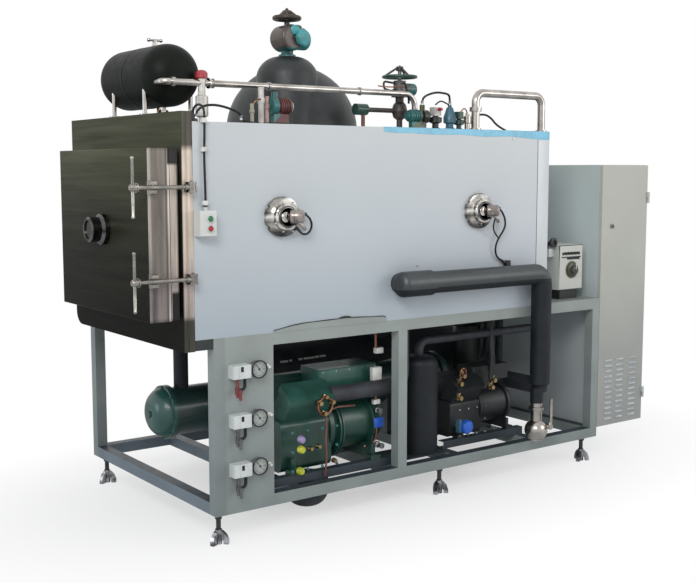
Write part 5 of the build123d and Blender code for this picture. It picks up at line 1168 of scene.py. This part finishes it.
# %% [markdown]
# ## The liquid line
# Beside the middle post a thin copper line runs down through white sensor blocks and a blue solenoid
# coil. The blocks and the coil are plates with well rounded edges, the line is a tube in three
# stretches between them, and two turned valves sit on it. A row of small white strips stands far
# behind it.
# %% Blocks, coil, line and white strips
with new_piece("valve_blocks", "white_plastic", "box_plastic") as bm:
    slab(bm, (884, 926), (96, 120), (680, 706), 3)
    slab(bm, (868, 918), (98, 124), (548, 618), 3)
    slab(bm, (874, 910), (98, 120), (448, 470), 3)
with new_piece("solenoid_coil", "cobalt_plastic", "coil_plastic") as bm:
    slab(bm, (868, 926), (92, 124), (340, 386), 6)
with new_piece("liquid_line", "copper", "small_valve_metal") as bm:
    tube(bm, [(893, 112, 706), (893, 112, 760), (898, 118, 800), (900, 130, 836)], 6)
    tube(bm, [(893, 112, 548), (893, 112, 470)], 6)
    tube(bm, [(895, 110, 340), (897, 110, 300), (880, 120, 262), (850, 140, 250)], 6)
with new_piece("liquid_valves", "plated", "small_valve_metal") as bm:
    lathe(bm, [(15, 0), (15, 12), (9, 14), (9, 34), (13, 36), (13, 44)], spot(895, 108, 262, OUT_FRONT), 12)
    lathe(bm, [(13, 0), (13, 10), (8, 12), (8, 28), (12, 30), (12, 36)], spot(896, 112, 420, OUT_FRONT), 12)

WHITE_ROW_LEFT, WHITE_ROW_RISE = 797, 0.02     # the row of strips climbs gently to the right
with new_piece("trap_white_strips", "white_plastic", "box_plastic") as bm:
    for x, wide in ((797, 44), (850, 16), (905, 24), (938, 60), (1004, 26), (1036, 34)):
        lift = WHITE_ROW_RISE * (x - WHITE_ROW_LEFT)
        slab(bm, (x, x + wide), (754, 760), (552 + lift, 562 + lift), 1.5)

# %% [markdown]
# ## The compressor in the right bay
# The smaller compressor is black with brass service valves on its heads. Each valve is a turned body
# that points forward, with a six-sided stem standing up from it, and a thin copper line joins two
# of them.
# %% Service valves and head line
with new_piece("service_valves", "brass", "small_valve_metal") as bm:
    for x, y, z in ((1440, 166, 470), (1452, 160, 508), (1652, 170, 428), (1664, 168, 462), (1430, 158, 402)):
        lathe(bm, [(12, 0), (12, 10), (7, 11), (7, 24), (11, 25), (11, 33)], spot(x, y, z, OUT_FRONT), 12)
        lathe(bm, [(9, 0), (9, 14), (13, 15), (13, 24)], spot(x, y - 8, z), 6)
with new_piece("head_line", "copper", "small_valve_metal") as bm:
    tube(bm, [(1440, 150, 480), (1436, 146, 520), (1452, 144, 548), (1476, 146, 538), (1480, 150, 500)], 5)

# %% [markdown]
# ## Lagged lines at the back of the bay
# Cold suction lines are lagged with black foam, so that they don't drip. Two rise from the
# compressor, three run side by side along the back and turn down one inside the other, and a fourth
# drops on the right. A small lagged vessel stands among them. The three parallel lines differ only by
# a step, so a loop makes them.
# %% Suction lines and the lagged vessel
LINE_STEP, LAGGED_R = 46, 22
with new_piece("suction_lines", "black_foam", "line_foam") as bm:
    tube(bm, [(1652, 158, 470), (1654, 150, 560), (1650, 152, 640), (1656, 165, 720), (1662, 190, 800)], 13)
    tube(bm, [(1696, 190, 500), (1698, 196, 560), (1696, 200, 640), (1702, 210, 800)], 15)
    for i in range(3):
        left, low, right = 1700 + LINE_STEP * i, 775 - LINE_STEP * i, 2110 - LINE_STEP * i
        tube(bm, [(left, 620, 812), (left, 620, low), (1900, 620, low), (right, 620, low),
                  (right, 620, 640), (right, 632, 440), (right, 820, 430)], LAGGED_R)
    tube(bm, [(2156, 620, 836), (2156, 620, 640), (2156, 632, 400), (2110, 820, 390)], LAGGED_R)
    lathe(bm, [(12, 0), (60, 8), (70, 30), (70, 240), (60, 262), (24, 270), (22, 300)],
          spot(1925, 640, 400), 32)

# %% [markdown]
# ## Front of the right compressor
# A blue end cap and a dark blue coil sit low at the front of the black casting, whose crankcase cover
# has the same border of bolts as the big one, only smaller.
# %% Blue cap, dark coil and cover bolts
with new_piece("blue_cap", "cobalt_plastic", "coil_plastic") as bm:
    lathe(bm, [(30, 0), (34, 3), (34, 22), (28, 30), (14, 33)], spot(1440, 112, 266, OUT_FRONT), 28)
with new_piece("dark_coil", "blue_enamel", "coil_plastic") as bm:
    slab(bm, (1396, 1412), (100, 130), (240, 306), 4)
flat_bolts("right_crankcase_bolts", (1410, 1578), (222, 350), 4, 3, 119.8, "plated",
           5.5)

# %% [markdown]
# ## Condenser cover bolts
# The condenser's end covers are each held by a ring of twelve bolts. The ring tree spreads twelve
# cubes, and a place and a turn put one ring on each cover.
# %% Bolt rings of the two covers
CONDENSER_Y, CONDENSER_Z, COVER_OUT = 620, 424, 8
bolts = []
for x, outward in ((98 - COVER_OUT, OUT_LEFT), (1658 + COVER_OUT, OUT_RIGHT)):
    ring = bar_ring(12, 106.0, (9, 9, 9), "plated")
    bolts.append((ring, spot(x, CONDENSER_Y, CONDENSER_Z, outward)))
grown_piece("cover_bolts", bolts, "plated")

# %% [markdown]
# ## Tank fittings
# The insulated tank has a taped seam round its middle, a polished union where the circulation pipe
# meets it, and a brass drain cock below. All four shapes are turned, and only their axes differ.
# %% Seam band, union and drain cock
TANK_X = 10
with new_piece("tank_seam", "tank_steel", "tank_steel") as bm:
    lathe(bm, [(127.1, -7), (127.7, -6), (127.7, 6), (127.1, 7)], spot(TANK_X, 545, 1885, OUT_FRONT), 64)
with new_piece("tank_union", "chrome_bright", "stainless") as bm:
    lathe(bm, [(22, 0), (22, 5), (17, 6), (17, 18), (20, 19), (20, 24)], spot(128, 245, 1852, OUT_RIGHT), 24)
with new_piece("tank_drain", "brass", "small_valve_metal") as bm:
    lathe(bm, [(9, 0), (9, 18), (13, 19), (13, 34), (8, 36), (8, 44)], spot(TANK_X, 430, 1716), 8)
    lathe(bm, [(4, -24), (6, -22), (6, 22), (4, 24)], spot(TANK_X, 418, 1742, OUT_RIGHT), 8)

# %% [markdown]
# ## Front of the instrument box
# The instrument box carries a strip of six terminals and a dial with 24 marks. The dial turns, so
# its pointer rides on the dial's own body, while the marks stay on the machine.
# %% Terminals, dial marks and pointer
DIAL_X, DIAL_Z = 2114.4, 996.0
TERMINALS, TERMINAL_STEP = 6, 23
with new_piece("terminal_marks", "dark_enamel", "box_plastic") as bm:
    for i in range(TERMINALS):
        left = 2044 + TERMINAL_STEP * i
        slab(bm, (left, left + 14), (57.5, 61), (1072, 1086), 1.0)
    slab(bm, (2040, 2180), (58.5, 60.5), (1058, 1064), 0.6)
marks = bar_ring(24, 44.0, (5, 1.2, 0.8), "dark_enamel")
grown_piece("dial_scale", [(marks, spot(DIAL_X, 59.2, DIAL_Z, OUT_FRONT))], "dark_enamel")
with new_piece("dial_pointer", "white_plastic", "knob_plastic", "dial") as bm:
    slab(bm, (DIAL_X - 1.6, DIAL_X + 1.6), (27.6, 29.5), (DIAL_Z + 4, DIAL_Z + 33), 0.4)

# %% [markdown]
# ## Cable entry beside the instrument box
# A hollow entry bush faces the front, and its cable bends down behind it into a plastic block on the
# box's side. The bush's outline turns back inwards at its mouth, which makes the hollow.
# %% Entry bush, its cable and the block
with new_piece("cable_entry", "black_plastic", "black_plastic") as bm:
    lathe(bm, [(22, 0), (25, 2), (25, 13), (20, 16), (12, 16), (12, 9)], spot(1994, 84, 1138, OUT_FRONT), 28)
    tube(bm, [(1994, 92, 1138), (1994, 112, 1134), (1994, 122, 1112), (1996, 124, 1090), (2010, 124, 1084),
              (2030, 124, 1084)], 9)
with new_piece("entry_block", "box_plastic", "box_plastic") as bm:
    slab(bm, (1986, 2026), (96, 140), (1062, 1106), 6)

# %% [markdown]
# ## Motor cap of the duct valve
# The gearbox of the duct valve ends in an eight-sided cast cap and a round plug, which face a little
# aside. A direction instead of a turn gives their axes.
# %% Cap and plug
with new_piece("motor_cap", "cyan_enamel", "valve_iron") as bm:
    lathe(bm, [(40, 0), (43, 4), (43, 18), (36, 26), (14, 30)],
          along((776, 531, 2106), (0.30, -0.95, 0.0)), 8)
    lathe(bm, [(22, 0), (22, 10), (16, 14)], along((742, 532, 2140), (-0.2, -0.98, 0.0)), 24)

# %% [markdown]
# ## Roof lines
# Small black hoses and copper wires link the valves on the roof. They are fixed lines of the
# machine, routed close to the sheet, so they are plain tubes and no cords. Two plated clamps sit on
# the long stainless pipe.
# %% Roof hoses, wires and clamps
with new_piece("roof_lines", "cable_black", "hose_rubber") as bm:
    tube(bm, [(1200, 300, 1905), (1180, 262, 1900), (1168, 240, 1870), (1180, 236, 1830),
              (1200, 262, 1812)], 5)
    tube(bm, [(1524, 150, 1760), (1560, 140, 1768), (1600, 130, 1752), (1640, 128, 1712),
              (1700, 130, 1692)], 5)
    tube(bm, [(1268, 150, 1800), (1290, 148, 1822), (1330, 150, 1812), (1356, 150, 1800)], 3.5)
    tube(bm, [(300, 150, 1690), (340, 128, 1692), (420, 118, 1691), (520, 122, 1690), (640, 130, 1691)], 4)
    tube(bm, [(226, 150, 1703), (252, 140, 1694), (300, 136, 1691)], 4)
with new_piece("roof_wires", "copper", "small_valve_metal") as bm:
    tube(bm, [(1000, 236, 1880), (1060, 232, 1876), (1130, 236, 1884), (1196, 262, 1884)], 3)
    tube(bm, [(278, 150, 1760), (290, 140, 1786), (318, 138, 1792), (336, 146, 1772)], 3)
    tube(bm, [(1414, 150, 1760), (1424, 138, 1786), (1446, 138, 1790), (1466, 150, 1770)], 3)
PIPE_Y, PIPE_Z, PIPE_R = 245, 1852, 15
with new_piece("pipe_clamps", "plated", "stainless") as bm:
    for x in (420, 900):
        lathe(bm, [(PIPE_R, -6), (PIPE_R + 3, -5), (PIPE_R + 3, 5), (PIPE_R, 6)],
              spot(x, PIPE_Y, PIPE_Z, OUT_RIGHT), 24)
